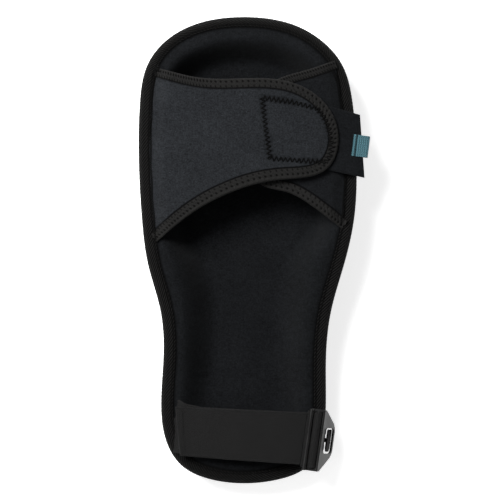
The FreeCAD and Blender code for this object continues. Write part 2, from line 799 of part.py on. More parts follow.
calf_strap = common(
    "calf_strap", strap_arch.band("strap_band", -80, 70, 0.0, size("strap_thickness"), -350.0),
    upright("strap_body", polygon_wire(BASE_LEFT + right_points)))

patch_low = size("strap_thickness") + size("strap_gap")
return_low = patch_low + size("patch_thickness") + 2 * size("sewn_gap")
return_body = upright("return_body", polygon_wire(RETURN_LEFT + right_points))
strap_return = common(
    "strap_return",
    strap_arch.band("return_band", -80, 70, return_low, return_low + size("strap_thickness"), -350.0),
    return_body)
PATCH_PLAN = [(-62.0, -285.5), (-66.0, -242.5), (-22.0, -244.0), (-20.0, -289.0)]
hook_patch = common(
    "strap_hook_patch",
    strap_arch.band(
        "patch_band", -80, 0, patch_low, patch_low + size("patch_thickness"), -350.0),
    upright("patch_body", polygon_wire(PATCH_PLAN)))

# The strap's turn round the clip's bar, drawn in the clip's XZ plane.
LOOP_END = 10.0
half_thick = size("strap_thickness") / 2
loop_rise = math.asin(loop_radius / LOOP_END)
tangent_length = math.sqrt(LOOP_END ** 2 - loop_radius ** 2)
touch = (tangent_length * math.cos(loop_rise) - LOOP_END, tangent_length * math.sin(loop_rise))


def loop_edges(radius, side):
    """Lower leg, turn and upper leg at one face of the strap."""
    scale = radius / loop_radius
    low_left = Vector(-LOOP_END, 0, -radius)
    low = Vector(0, 0, -radius)
    top = Vector(touch[0] * scale, 0, touch[1] * scale)
    top_left = Vector(
        -LOOP_END - side * math.sin(loop_rise), 0, side * math.cos(loop_rise))
    return low_left, top_left, [
        Part.LineSegment(low_left, low),
        Part.Arc(low, Vector(radius, 0, 0), top),
        Part.LineSegment(top, top_left),
    ]


outside_low, outside_top, outside = loop_edges(loop_radius + half_thick, half_thick)
inside_low, inside_top, inside = loop_edges(loop_radius - half_thick, -half_thick)
closing = [Part.LineSegment(outside_low, inside_low), Part.LineSegment(outside_top, inside_top)]
loop_wire = Part.Wire(Part.__sortEdges__([e.toShape() for e in outside + inside + closing]))
loop_profile = feature("loop_profile", loop_wire)
loop_profile.Placement = Placement(Vector(0, -half_strap, 0), Rotation())
strap_loop = extruded("strap_loop", loop_profile, Vector(0, 1, 0), "dims.strap_width")
strap_loop.Placement = clip_place


# ---------------------------------------------------------------- check and write

doc.recompute()

NODES = {
    "outer_cover": cover,
    "inner_lining": lining,
    "foam_core": foam,
    "knee_gel_pad": gel,
    "shin_cushion": shin_pad,
    "edge_binding": binding,
    "knee_cap": knee_cap,
    "shin_cap": shin_cap,
    "side_stud": drilled_stud,
    "stud_backing_plate": backing_plate,
    "stud_rivets": rivets,
    "left_flap": left_flap,
    "left_flap_edging": left_edging,
    "hook_tab": hook_tab,
    "hook_tab_end": hook_tab_end,
    "pull_tab": pull_strip,
    "right_flap": right_flap,
    "right_flap_edging": right_edging,
    "calf_strap": calf_strap,
    "strap_return": strap_return,
    "strap_hook_patch": hook_patch,
    "strap_loop": strap_loop,
    "strap_clip": clip,
}

for name, item in NODES.items():
    item.Label = name
for item in doc.Objects:
    if "Invalid" in item.State or "Error" in item.State:
        raise RuntimeError("%s failed: %s" % (item.Name, item.State))

os.makedirs("parts", exist_ok=True)
for name, item in NODES.items():
    shape = item.Shape
    if shape.isNull() or not shape.isValid() or not shape.Solids:
        raise RuntimeError("%s has no valid solid" % name)
    shape.exportStep("parts/%s.step" % name)
    print("%-20s %d solid(s) %9.0f mm3" % (name, len(shape.Solids), shape.Volume))
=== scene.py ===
import math

import bmesh
import bpy
import numpy as np
from mathutils import Matrix, Vector, kdtree


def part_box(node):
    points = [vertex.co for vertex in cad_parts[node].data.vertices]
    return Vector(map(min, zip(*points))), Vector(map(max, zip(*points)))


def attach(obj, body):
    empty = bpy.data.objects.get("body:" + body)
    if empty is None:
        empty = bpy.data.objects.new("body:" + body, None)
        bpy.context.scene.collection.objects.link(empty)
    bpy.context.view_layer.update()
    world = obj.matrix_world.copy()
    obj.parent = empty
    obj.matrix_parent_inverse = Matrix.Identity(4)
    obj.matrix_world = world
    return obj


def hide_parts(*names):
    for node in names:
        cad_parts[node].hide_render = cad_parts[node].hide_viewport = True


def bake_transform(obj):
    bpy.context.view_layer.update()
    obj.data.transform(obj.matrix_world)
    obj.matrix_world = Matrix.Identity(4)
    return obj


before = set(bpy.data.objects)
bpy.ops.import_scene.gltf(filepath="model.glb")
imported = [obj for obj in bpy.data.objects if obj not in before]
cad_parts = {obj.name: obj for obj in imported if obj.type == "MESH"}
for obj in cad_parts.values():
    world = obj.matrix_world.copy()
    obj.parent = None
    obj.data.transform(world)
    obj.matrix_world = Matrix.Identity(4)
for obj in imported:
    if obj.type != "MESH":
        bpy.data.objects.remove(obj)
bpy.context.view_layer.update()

# Shapes are worked out in millimetres, in the frame's axes, and become metres in add_mesh.
MM = 0.001
TAU = 2 * math.pi


# -------- curves and surfaces

def join(*parts, axis=0):
    return np.concatenate(parts, axis=axis)


def columns(*parts):
    return np.stack(parts, axis=-1)


def unit(vectors):
    return vectors / np.linalg.norm(vectors, axis=-1, keepdims=True)


def arc_lengths(points):
    """Length along the polyline up to each of its points."""
    return join([0], np.cumsum(np.linalg.norm(np.diff(points, axis=0), axis=1)))


def raised(flat, z):
    """Plan points with their heights."""
    return join(flat, z[..., None], axis=-1)


def placed(matrix, points):
    m = np.array(matrix)
    return points @ m[:3, :3].T + m[:3, 3]


def metres(point):
    return tuple(float(c) * MM for c in point)


def hermite(f, start, end, slope0, slope1):
    """Cubic from start to end for f of 0 to 1, with its slopes at the two."""
    return ((2 * f ** 3 - 3 * f ** 2 + 1) * start + (f ** 3 - 2 * f ** 2 + f) * slope0
            + (3 * f ** 2 - 2 * f ** 3) * end + (f ** 3 - f ** 2) * slope1)


def spline(points, closed=False, count=4000):
    """Dense polyline of the cubic spline through the points, spaced by chord length."""
    p = np.array(points, float)
    if closed:
        p = np.vstack([p, p[:1]])
    gaps = np.linalg.norm(np.diff(p, axis=0), axis=1)
    chord = np.diff(p, axis=0) / gaps[:, None]
    n = len(p)
    lhs = np.zeros((n, n))
    rhs = np.zeros(p.shape)
    for i in range(1, n - 1):
        lhs[i, i - 1:i + 2] = gaps[i], 2 * (gaps[i - 1] + gaps[i]), gaps[i - 1]
        rhs[i] = 3 * (gaps[i] * chord[i - 1] + gaps[i - 1] * chord[i])
    if closed:
        lhs[0, [n - 2, 0, 1]] = gaps[0], 2 * (gaps[-1] + gaps[0]), gaps[-1]
        rhs[0] = 3 * (gaps[0] * chord[-1] + gaps[-1] * chord[0])
        lhs[-1, [0, -1]] = 1, -1
    else:
        lhs[0, :2], rhs[0] = (2, 1), 3 * chord[0]
        lhs[-1, -2:], rhs[-1] = (1, 2), 3 * chord[-1]
    slope = np.linalg.solve(lhs, rhs)
    knots = join([0], np.cumsum(gaps))
    at = np.linspace(0, knots[-1], count + 1)
    spot = np.clip(np.searchsorted(knots, at, side="right") - 1, 0, n - 2)
    h = gaps[spot][:, None]
    f = ((at - knots[spot]) / gaps[spot])[:, None]
    return hermite(f, p[spot], p[spot + 1], h * slope[spot], h * slope[spot + 1])


class Line:
    """A polyline measured by its own length."""

    def __init__(self, points, closed=False):
        self.points = np.array(points, float)
        self.arc = arc_lengths(self.points)
        self.length = self.arc[-1]
        self.closed = closed

    def at(self, where):
        where = np.mod(where, self.length) if self.closed else np.clip(where, 0, self.length)
        return np.stack([np.interp(where, self.arc, c) for c in self.points.T], axis=-1)

    def along(self, where, reach=0.6):
        """Unit tangents."""
        return unit(self.at(np.asarray(where) + reach) - self.at(np.asarray(where) - reach))

    def inward(self, where):
        """Unit normals to the right of the direction of travel."""
        t = self.along(where)
        return columns(t[..., 1], -t[..., 0])

    def inset(self, where, by):
        """Points that far in from the line."""
        return self.at(where) + self.inward(where) * np.asarray(by)[..., None]

    def spots(self, step):
        """Even places along the line, about step apart; a closed line leaves out the last."""
        count = max(2, int(round(self.length / step)))
        return np.linspace(0, self.length, count + 1)[:count if self.closed else None]


def nearest(targets, points):
    """Distance in plan from each point to the nearest target, and which target it is."""
    tree = kdtree.KDTree(len(targets))
    for i, (x, y) in enumerate(targets):
        tree.insert((x, y, 0), i)
    tree.balance()
    flat = points.reshape(-1, points.shape[-1])
    found = [tree.find((x, y, 0)) for x, y in flat[:, :2]]
    gap = np.array([f[2] for f in found]).reshape(points.shape[:-1])
    return gap, np.array([f[1] for f in found]).reshape(points.shape[:-1])


def distance_to(line, points, spacing=0.5):
    """Distance in plan from each point to the line."""
    return nearest(line.at(np.arange(0, line.length + spacing, spacing)), points)[0]


def eased(t):
    t = np.clip(t, 0, 1)
    return t * t * (3 - 2 * t)


def smooth(knots, y):
    """Catmull-Rom curve through the (y, height) knots, level beyond their ends."""
    ky, kz = np.array(knots, float).T
    y = np.clip(y, ky[0], ky[-1])
    i = np.clip(np.searchsorted(ky, y, side="right") - 1, 0, len(ky) - 2)
    before, after = np.maximum(i - 1, 0), np.minimum(i + 2, len(ky) - 1)
    width = ky[i + 1] - ky[i]
    slope0 = (kz[i + 1] - kz[before]) / (ky[i + 1] - ky[before]) * width
    slope1 = (kz[after] - kz[i]) / (ky[after] - ky[i]) * width
    return hermite((y - ky[i]) / width, kz[i], kz[i + 1], slope0, slope1)


def bell(x, width):
    return np.exp(-(x / width) ** 2)


def ripple(x, y, seed):
    """Smooth low noise from a few crossing waves, about -1 to 1."""
    rng = np.random.default_rng(seed)
    total = np.zeros(np.broadcast(x, y).shape)
    for _ in range(7):
        turn, pitch, phase = rng.uniform(0, TAU), rng.uniform(26, 70), rng.uniform(0, 6.28)
        total += np.sin((x * math.cos(turn) + y * math.sin(turn)) * TAU / pitch + phase)
    return total / 4


# -------- meshes

def add_mesh(name, points, faces, material, uv=None, shade=None, sharp=35.0):
    """Object of the points, in millimetres. uv has one pair per face corner, or is the plan."""
    mesh = bpy.data.meshes.new(name)
    points = np.asarray(points, float).reshape(-1, 3)
    mesh.from_pydata((points * MM).tolist(), [], np.asarray(faces).tolist())
    corners = np.zeros(len(mesh.loops), int)
    mesh.loops.foreach_get("vertex_index", corners)
    layer = mesh.uv_layers.new(name="weave")
    values = points[corners, :2] if uv is None else uv.reshape(-1, 2)
    layer.data.foreach_set("uv", values.astype(np.float32).ravel())
    if shade is not None:
        attribute = mesh.attributes.new("shade", "FLOAT", "POINT")
        attribute.data.foreach_set("value", np.asarray(shade, np.float32).ravel())
    bm = bmesh.new()
    bm.from_mesh(mesh)
    bmesh.ops.remove_doubles(bm, verts=bm.verts, dist=2e-6)
    bmesh.ops.dissolve_degenerate(bm, edges=bm.edges, dist=1e-6)
    bmesh.ops.recalc_face_normals(bm, faces=bm.faces)
    bm.to_mesh(mesh)
    bm.free()
    mesh.shade_smooth()
    mesh.set_sharp_from_angle(angle=math.radians(sharp))
    mesh.materials.append(material)
    obj = bpy.data.objects.new(name, mesh)
    bpy.context.collection.objects.link(obj)
    return obj


def grid(rows, cols, wrap_rows=False, wrap_cols=False):
    """Faces of a rows x cols grid of points, and each face corner's row and column."""
    r = rows if wrap_rows else rows - 1
    c = cols if wrap_cols else cols - 1
    i, j = [a.ravel() for a in np.meshgrid(np.arange(r), np.arange(c), indexing="ij")]
    row = columns(i, i + 1, i + 1, i)
    col = columns(j, j, j + 1, j + 1)
    return (row % rows) * cols + col % cols, row, col


def add_grid(name, points, material, across=None, along=None, shade=None, wrap_rows=False,
             wrap_cols=False, sharp=35.0):
    """Object of a rows x cols x 3 grid. across and along are each row's and column's uv."""
    rows, cols = points.shape[:2]
    faces, row, col = grid(rows, cols, wrap_rows, wrap_cols)
    uv = None
    if along is not None:
        uv = columns(np.asarray(along)[col], np.asarray(across)[row])
    return add_mesh(name, points, faces, material, uv, shade, sharp)


def rings(outline, spine, fractions):
    """Plan points on rings that shrink from the closed outline to the spine."""
    a, b = np.array(spine, float)
    part = np.clip((outline - a) @ (b - a) / ((b - a) @ (b - a)), 0, 1)
    # shared stops along the spine, so that the skin closes there
    stops = int(np.linalg.norm(b - a) / (2.5 * np.linalg.norm(outline[1] - outline[0])))
    part = np.round(part * stops) / stops
    target = a + part[:, None] * (b - a)
    t = np.asarray(fractions)[:, None, None]
    return outline[None] * (1 - t) + target[None] * t


def stacked(plan, top, bottom):
    """Closed skin over and under plan's rings: centre to edge on top, and back below."""
    return join(raised(plan, top)[::-1], raised(plan, bottom))


THREAD_FLATNESS = 0.8
THREAD_TAPER = 0.35


def tubes(name, paths, radius, material, sides=6):
    """One mesh of closed threads, one along each path of points."""
    points, faces, uvs = [], [], []
    start = 0
    for path in paths:
        path = np.asarray(path, float)
        tangent = unit(np.gradient(path, axis=0))
        side = unit(np.cross(tangent, (0, 0, 1)))
        lift = np.cross(side, tangent)
        girth = np.full(len(path), radius)
        girth[[0, -1]] = 0
        girth[[1, -2]] = radius * (1 - THREAD_TAPER)
        turn = np.linspace(0, TAU, sides, endpoint=False)
        ring = (side[:, None] * np.cos(turn)[None, :, None]
                + lift[:, None] * np.sin(turn)[None, :, None] * THREAD_FLATNESS)
        points.append((path[:, None] + ring * girth[:, None, None]).reshape(-1, 3))
        quads, row, col = grid(len(path), sides, wrap_cols=True)
        faces.append(quads + start)
        run = arc_lengths(path)
        uvs.append(columns(run[row], col * TAU * radius / sides))
        start += len(path) * sides
    return add_mesh(name, np.concatenate(points), np.concatenate(faces), material,
                    np.concatenate(uvs), sharp=80)


def stitches(line_at, length, pitch, gap, lift, sink, start=0.0):
    """Paths of a row of straight stitches. line_at gives surface points at places along it."""
    paths = []
    shape = np.array([-1, 0.2, 0.85, 1, 0.85, 0.2, -1])
    for k in range(int((length - start) / pitch)):
        where = start + k * pitch + np.linspace(gap / 2, pitch - gap / 2, len(shape))
        place = line_at(where)
        place[:, 2] += np.where(shape > 0, shape * lift, shape * sink)
        paths.append(place)
    return paths


# -------- materials

class Nodes:
    """A short hand for building one material."""

    def __init__(self, name):
        self.material = bpy.data.materials.new(name)
        self.material.use_nodes = True
        self.tree = self.material.node_tree
        self.shader = self.tree.nodes["Principled BSDF"]
        self.uv = self.add("UVMap", uv_map="weave").outputs[0]
        self.u, self.v = self.add("SeparateXYZ", {0: self.uv}).outputs[:2]

    def add(self, kind, inputs=(), **settings):
        node = self.tree.nodes.new("ShaderNode" + kind)
        for key, value in settings.items():
            setattr(node, key, value)
        for key, value in dict(inputs).items():
            self.put(node.inputs[key], value)
        return node

    def put(self, socket, value):
        if isinstance(value, bpy.types.NodeSocket):
            self.tree.links.new(value, socket)
        else:
            socket.default_value = value

    def math(self, operation, a, b=0.0, c=0.0):
        return self.add("Math", {0: a, 1: b, 2: c}, operation=operation).outputs[0]

    def mul(self, a, b):
        return self.math("MULTIPLY", a, b)

    def muladd(self, a, b, c):
        return self.math("MULTIPLY_ADD", a, b, c)

    def wave(self, place, pitch):
        """Cosine of the place, -1 to 1, one turn in pitch millimetres."""
        return self.math("COSINE", self.mul(place, TAU / pitch))

    def noise(self, scale, detail=3.0, rough=0.6, vector=None):
        """Noise whose features are about 1/scale millimetres."""
        source = self.uv if vector is None else vector
        return self.add("TexNoise", {
            "Vector": source, "Scale": scale, "Detail": detail, "Roughness": rough}).outputs[0]

    def span(self, value, start, end, low=0.0, high=1.0):
        return self.add(
            "MapRange", {0: value, 1: start, 2: end, 3: low, 4: high}).outputs[0]

    def lit(self, colour, spot, tint):
        """colour with tint where spot is 1."""
        mix = self.add(
            "Mix", {"Factor": spot, 6: colour, 7: (*tint, 1)}, data_type="RGBA")
        return mix.outputs[2]

    def ramp(self, value, low, high, start=0.0, end=1.0):
        """value from start..end to a colour from low to high."""
        return self.lit((*low, 1), self.span(value, start, end), high)

    def shade(self):
        """Painted shade that the mesh carries along its seams, stitch holes and tape edges."""
        return self.add("Attribute", attribute_name="shade").outputs["Fac"]

    def bump(self, height, depth):
        """Bump of height 0 to 1 over depth millimetres."""
        inputs = {"Height": height, "Distance": depth * MM, "Strength": 1.0}
        return self.add("Bump", inputs).outputs[0]

    def finish(self, colour, rough, normal=None, **sockets):
        sockets.update({"Base Color": colour, "Roughness": rough})
        if normal is not None:
            sockets["Normal"] = normal
        for key, value in sockets.items():
            self.put(self.shader.inputs[key], value)
        return self.material

    def cloth(self, colour, pile, rough, height, depth, sheen, specular=0.05, sheen_rough=0.4):
        """Finishes a fabric, whose roughness follows its pile between the two of rough."""
        return self.finish(
            colour, self.span(pile, 0.3, 0.7, *rough), self.bump(height, depth),
            **{"Sheen Weight": sheen, "Sheen Roughness": sheen_rough,
               "Specular IOR Level": specular})


def knit(name, dark, light, sheen, specks=0.5, shaded=False):
    """Brushed knit facing: fine wales, mottled pile and a few pale fibres."""
    n = Nodes(name)
    wale = n.math("ADD", n.wave(n.u, 0.62), n.wave(n.v, 0.48))
    pile = n.noise(0.62, 4.0, 0.75)
    clumps = n.noise(0.22, 3.0, 0.65)
    cloud = n.noise(0.03, 3.0, 0.6)
    tone = n.muladd(clumps, 0.38, n.mul(cloud, 0.22))
    tone = n.math("ADD", pile, tone)
    colour = n.ramp(tone, dark, light, 0.60, 1.00)
    fibre = n.span(n.noise(0.55, 2.0, 0.9), 0.66, 0.72)
    colour = n.lit(colour, n.mul(fibre, specks), [c * 2.4 for c in light])
    # With shaded, the mesh's painted shade darkens the knit in its seams, holes and beside tape
    # edges.
    if shaded:
        marks = n.mul(n.shade(), 0.92)
        colour = n.lit(colour, marks, [c * 0.15 for c in dark])
    height = n.muladd(wale, 0.14, n.muladd(pile, 0.8, clumps))
    return n.cloth(colour, pile, (0.78, 0.95), height, 0.4, sheen, sheen_rough=0.45)


def twill(name, dark, light, pitch, angle, sheen, depth, gloss=0.55):
    """Woven tape: ribs at an angle to its length, crossed by fine yarns."""
    n = Nodes(name)
    lean = math.radians(angle)
    place = n.muladd(n.u, math.sin(lean), n.mul(n.v, math.cos(lean)))
    rib = n.wave(place, pitch)
    cross = n.muladd(n.u, math.cos(lean), n.mul(n.v, -math.sin(lean)))
    yarn = n.wave(cross, 0.45)
    pile = n.noise(0.9, 4.0, 0.75)
    tone = n.muladd(rib, 0.22, n.muladd(yarn, 0.06, pile))
    colour = n.ramp(tone, dark, light, 0.30, 0.80)
    # The mesh's painted shade darkens the tape's stitch troughs, holes and edges.
    colour = n.lit(colour, n.shade(), [c * 0.15 for c in dark])
    height = n.muladd(rib, 0.5, n.muladd(yarn, 0.12, pile))
    return n.cloth(colour, pile, (gloss, gloss + 0.2), height, depth, sheen)


def herringbone(name, dark, light, pitch, column):
    """Webbing whose ribs turn back at each column, with lighter raised ridges."""
    n = Nodes(name)
    rib = n.wave(n.math("ADD", n.u, n.math("PINGPONG", n.v, column)), pitch)
    ridge = n.wave(n.v, 2 * column)
    pile = n.noise(0.9, 4.0, 0.7)
    tone = n.muladd(rib, 0.30, n.muladd(ridge, 0.10, pile))
    colour = n.ramp(tone, dark, light, 0.10, 0.90)
    # The mesh's painted shade darkens the stitch line's trough.
    colour = n.lit(colour, n.shade(), [c * 0.08 for c in dark])
    height = n.muladd(rib, 0.7, n.muladd(ridge, 0.3, pile))
    return n.cloth(colour, pile, (0.5, 0.7), height, 0.35, 0.05, specular=0.2)


def basket(name, dark, light, pitch_u, pitch_v, sheen, depth, gloss=0.55, slub=0.5, grain=0.8):
    """Plain weave of bars over and under, for the elastic and the outer cover."""
    n = Nodes(name)
    a, b = n.wave(n.u, pitch_u), n.wave(n.v, pitch_v)
    cross = n.mul(a, b)
    gap = n.mul(n.wave(n.u, pitch_u / 2), n.wave(n.v, pitch_v / 2))
    weave = n.muladd(cross, 0.5, n.mul(gap, 0.25))
    pile = n.noise(grain, 3.0, 0.85)
    tone = n.muladd(weave, slub, pile)
    colour = n.ramp(tone, dark, light, 0.33, 0.75)
    height = n.muladd(weave, 0.8, pile)
    return n.cloth(colour, pile, (gloss, gloss + 0.2), height, depth, sheen)


def moulded(name, dark, light, gloss, grain, depth, coat=0.0, specular=0.5, metallic=0.0):
    """Moulded plastic or rubber with a fine grain, faint flow marks and rubbed patches."""
    n = Nodes(name)
    place = n.add("TexCoord").outputs["Object"]
    fine = n.noise(grain, 3.0, 0.55, place)
    marks = n.noise(grain / 14, 2.0, 0.5, place)
    tone = n.muladd(fine, 0.4, n.mul(marks, 0.6))
    return n.finish(
        n.ramp(tone, dark, light, 0.3, 0.7), n.span(marks, 0.3, 0.7, gloss, gloss + 0.16),
        n.bump(fine, depth),
        **{"Coat Weight": coat, "Coat Roughness": 0.25, "Specular IOR Level": specular,
           "Metallic": metallic})


def thread(name, dark, light):
    n = Nodes(name)
    twist = n.wave(n.muladd(n.v, 0.8, n.u), 0.55)
    colour = n.ramp(twist, dark, light, -1, 1)
    return n.finish(
        colour, n.span(twist, -1, 1, 0.9, 0.7), n.bump(twist, 0.08),
        **{"Specular IOR Level": 0.1})


def greys(dark, light, tint=(1.0, 1.0, 1.0)):
    return [tuple(value * c for c in tint) for value in (dark, light)]


# The binding's ribs: their pitch in millimetres, and their lean in degrees.
RIB_PITCH = 2.0
RIB_ANGLE = 34
COOL = (0.90, 0.99, 1.12)
WARM = (1.02, 1.0, 0.97)
MATERIALS = {
    "flap_neoprene": knit(
        "flap_knit", *greys(0.007, 0.028, COOL), 0.02, 0.7, shaded=True),
    "lining_cloth": knit(
        "lining_knit", *greys(0.0024, 0.0125, COOL), 0.03, shaded=True),
    "binding_tape": twill(
        "binding_twill", *greys(0.0006, 0.0125, WARM), RIB_PITCH, RIB_ANGLE, 0.02, 0.3),
    "flap_tape": twill(
        "edging_tape", *greys(0.006, 0.025, WARM), 0.9, 90, 0.03, 0.15, 0.7),
    "hook_tape": knit("hook_tape_back", *greys(0.0035, 0.0125, COOL), 0.01, 0.1),
    "pull_webbing": herringbone(
        "teal_webbing", (0.016, 0.055, 0.070), (0.100, 0.230, 0.270), 2.0, 1.15),
    "elastic": basket(
        "elastic_weave", *greys(0.0004, 0.0330), 1.3, 0.8, 0.015, 0.25, grain=1.5),
    "cover_cloth": basket(
        "ballistic_weave", *greys(0.002, 0.014), 2.4, 2.4, 0.02, 0.35, 0.5, 0.6),
    "cap_rubber": moulded(
        "cap_rubber", *greys(0.005, 0.012), 0.5, 1400.0, 0.12, specular=0.35),
    "clip_plastic": moulded(
        "clip_plastic", *greys(0.003, 0.008), 0.30, 900.0, 0.03, 0.03, specular=0.30),
    "rivet_metal": moulded(
        "rivet_metal", *greys(0.35, 0.5), 0.25, 800.0, 0.03, metallic=1.0),
    "foam": knit("foam_cells", *greys(0.10, 0.22), 0.05, 0.0),
    "soft_foam": knit("cushion_cells", *greys(0.20, 0.34, COOL), 0.05, 0.0),
    "gel": moulded("gel_skin", (0.03, 0.08, 0.12), (0.05, 0.12, 0.18), 0.2, 300.0, 0.05, 0.5),
    # The flap underneath takes a darker copy of the flap knit: painted shade for the right flap.
    "shaded_flap": knit(
        "shaded_flap_knit", *greys(0.0032, 0.0135, COOL), 0.015, 0.6, shaded=True),
    "stud_plastic": moulded(
        "stud_plastic", *greys(0.0008, 0.0022), 0.5, 900.0, 0.03, specular=0.06),
}
BLACK_THREAD = thread("black_thread", *greys(0.0005, 0.0020))
TAPE_THREAD = thread("edging_thread", *greys(0.007, 0.020))
# Radius of each kind of thread.
BINDING_THREAD = 0.30
COVER_STITCH_THREAD = 0.19
ZIGZAG_THREAD = 0.58
CHAIN_THREAD = 0.42
KNOT_THREAD = 0.40
PULL_THREAD = 0.32
HEM_THREAD = 0.28


def describe(nodes=()):
    """Hides the CAD nodes that a piece stands for."""
    if nodes:
        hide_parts(*nodes)


def place(obj, body, slot, nodes=()):
    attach(obj, body)
    describe(nodes)


def bend(obj, first, second, start, end, slot, nodes=()):
    """Bakes a piece's placement into its mesh and hides its CAD nodes; its two bodies, two points
    and slot are not used.
    """
    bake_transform(obj)
    describe(nodes)


# -------- the pad's shape

# Plan of the rim, clockwise from the thigh end.
RIM = [
    (-1, 131.5), (48, 123), (74, 107), (91.5, 85.5), (101, 52), (105, -2), (103, -60),
    (93, -106), (81, -150), (76.5, -192), (76.5, -230), (73.3, -270), (60, -297.5),
    (30, -311.5), (-4, -315), (-38, -310), (-62, -297.5), (-76.5, -274), (-81.3, -237),
    (-78.7, -187), (-82, -147), (-93, -106), (-99, -62), (-102, -2), (-101, 48),
    (-94, 85), (-77, 108), (-51, 123.5),
]
RIM_HEIGHT = [
    (-325, 33), (-290, 38.6), (-252, 39.6), (-200, 45), (-140, 52), (-85, 57.5), (0, 59),
    (70, 58), (135, 49),
]
FLOOR_HEIGHT = [(-325, 25), (-250, 20), (-150, 22), (-95, 25), (-30, 21), (60, 21), (135, 30)]
BOLSTER_START = [(-315, 11), (-160, 14), (-105, 19), (-62, 10), (20, 12), (80, 17), (132, 18)]
BOLSTER_END = [(-315, 46), (-160, 56), (-105, 60), (-62, 40), (20, 40), (80, 46), (132, 48)]
CREST_RISE, CREST_IN, CREST_WIDTH = 2.5, 20.0, 9.0
RIM_THICKNESS = 9.0
BASE_HEIGHT = 4.0
WALL_WIDTH = 60.0
WALL_POWER = 2.4
COVER = 1.6
LINING = 3.2
GAP = 0.2
TAPE = 1.2
TAPE_WIDTH = 11.5

rim = Line(spline(RIM, closed=True), closed=True)
SPINE = [(0, 60), (-2, -250)]


def outer_height(depth, y):
    wall = np.maximum(0, 1 - depth / WALL_WIDTH) ** WALL_POWER
    return BASE_HEIGHT + (smooth(RIM_HEIGHT, y) - RIM_THICKNESS - BASE_HEIGHT) * wall


def inner_height(depth, y):
    top = smooth(RIM_HEIGHT, y)
    start = smooth(BOLSTER_START, y)
    fall = np.clip((depth - start) / (smooth(BOLSTER_END, y) - start), 0, 1)
    fall = fall ** 3 * (fall * (6 * fall - 15) + 10)
    crest = CREST_RISE * bell(depth - CREST_IN, CREST_WIDTH)
    return top - (top - smooth(FLOOR_HEIGHT, y)) * fall + crest


def tape_width(y):
    """The binding is pulled narrower round the thigh end."""
    return TAPE_WIDTH - 2.0 * eased((y - 50) / 60)


def ring_shares(near, far):
    """Shares of the way in from an outline, closer together beside it."""
    return join(np.linspace(0, 0.30, near), np.linspace(0.30, 1, far)[1:])


PAD_STEP = 2.0
HIDDEN_EDGE = 5.0
pad_spots = rim.spots(PAD_STEP)
outline = rim.inset(pad_spots, HIDDEN_EDGE)
plan = rings(outline, SPINE, ring_shares(26, 42))
depth = distance_to(rim, plan)
pad_y = plan[..., 1]
pad_s = np.broadcast_to(pad_spots, depth.shape)


def puckers(s, depth, edge, size):
    """Small gathers beside a sewn edge."""
    beat = np.sin(TAU * s / 7.3 + 1.4 * np.sin(TAU * s / 58))
    return size * beat * bell(depth - edge - 1.5, 4.0)


lining_top = inner_height(depth, pad_y) + puckers(pad_s, depth, TAPE_WIDTH, 0.22)
lining_top += 0.35 * ripple(plan[..., 0], pad_y, 3) * eased((depth - 14) / 20)
# Painted shade on the lining's top skin, in a band beside the binding's inner edge.
tape_edge_shade = bell(depth - tape_width(pad_y) - 0.3, 1.6)
lining_shade = join(tape_edge_shade[::-1], tape_edge_shade * 0)
lining_low = lining_top - LINING
cover_low = outer_height(depth, pad_y) + puckers(pad_s, depth, TAPE_WIDTH, 0.25)
cover_top = cover_low + COVER
for name, top, low, slot, node, fill, marks in (
        ("padded_lining", lining_top, lining_low, "lining_cloth", "inner_lining", 0.8, lining_shade),
        ("outer_shell_cloth", cover_top, cover_low, "cover_cloth", "outer_cover", 0.8, None),
        ("foam_body", lining_low - GAP, cover_top + GAP, "foam", "foam_core", 0.9, None)):
    piece = add_grid(
        name, stacked(plan, top, low), MATERIALS[slot], wrap_cols=True, shade=marks)
    place(piece, "pad", slot, [node])


# -------- edge binding

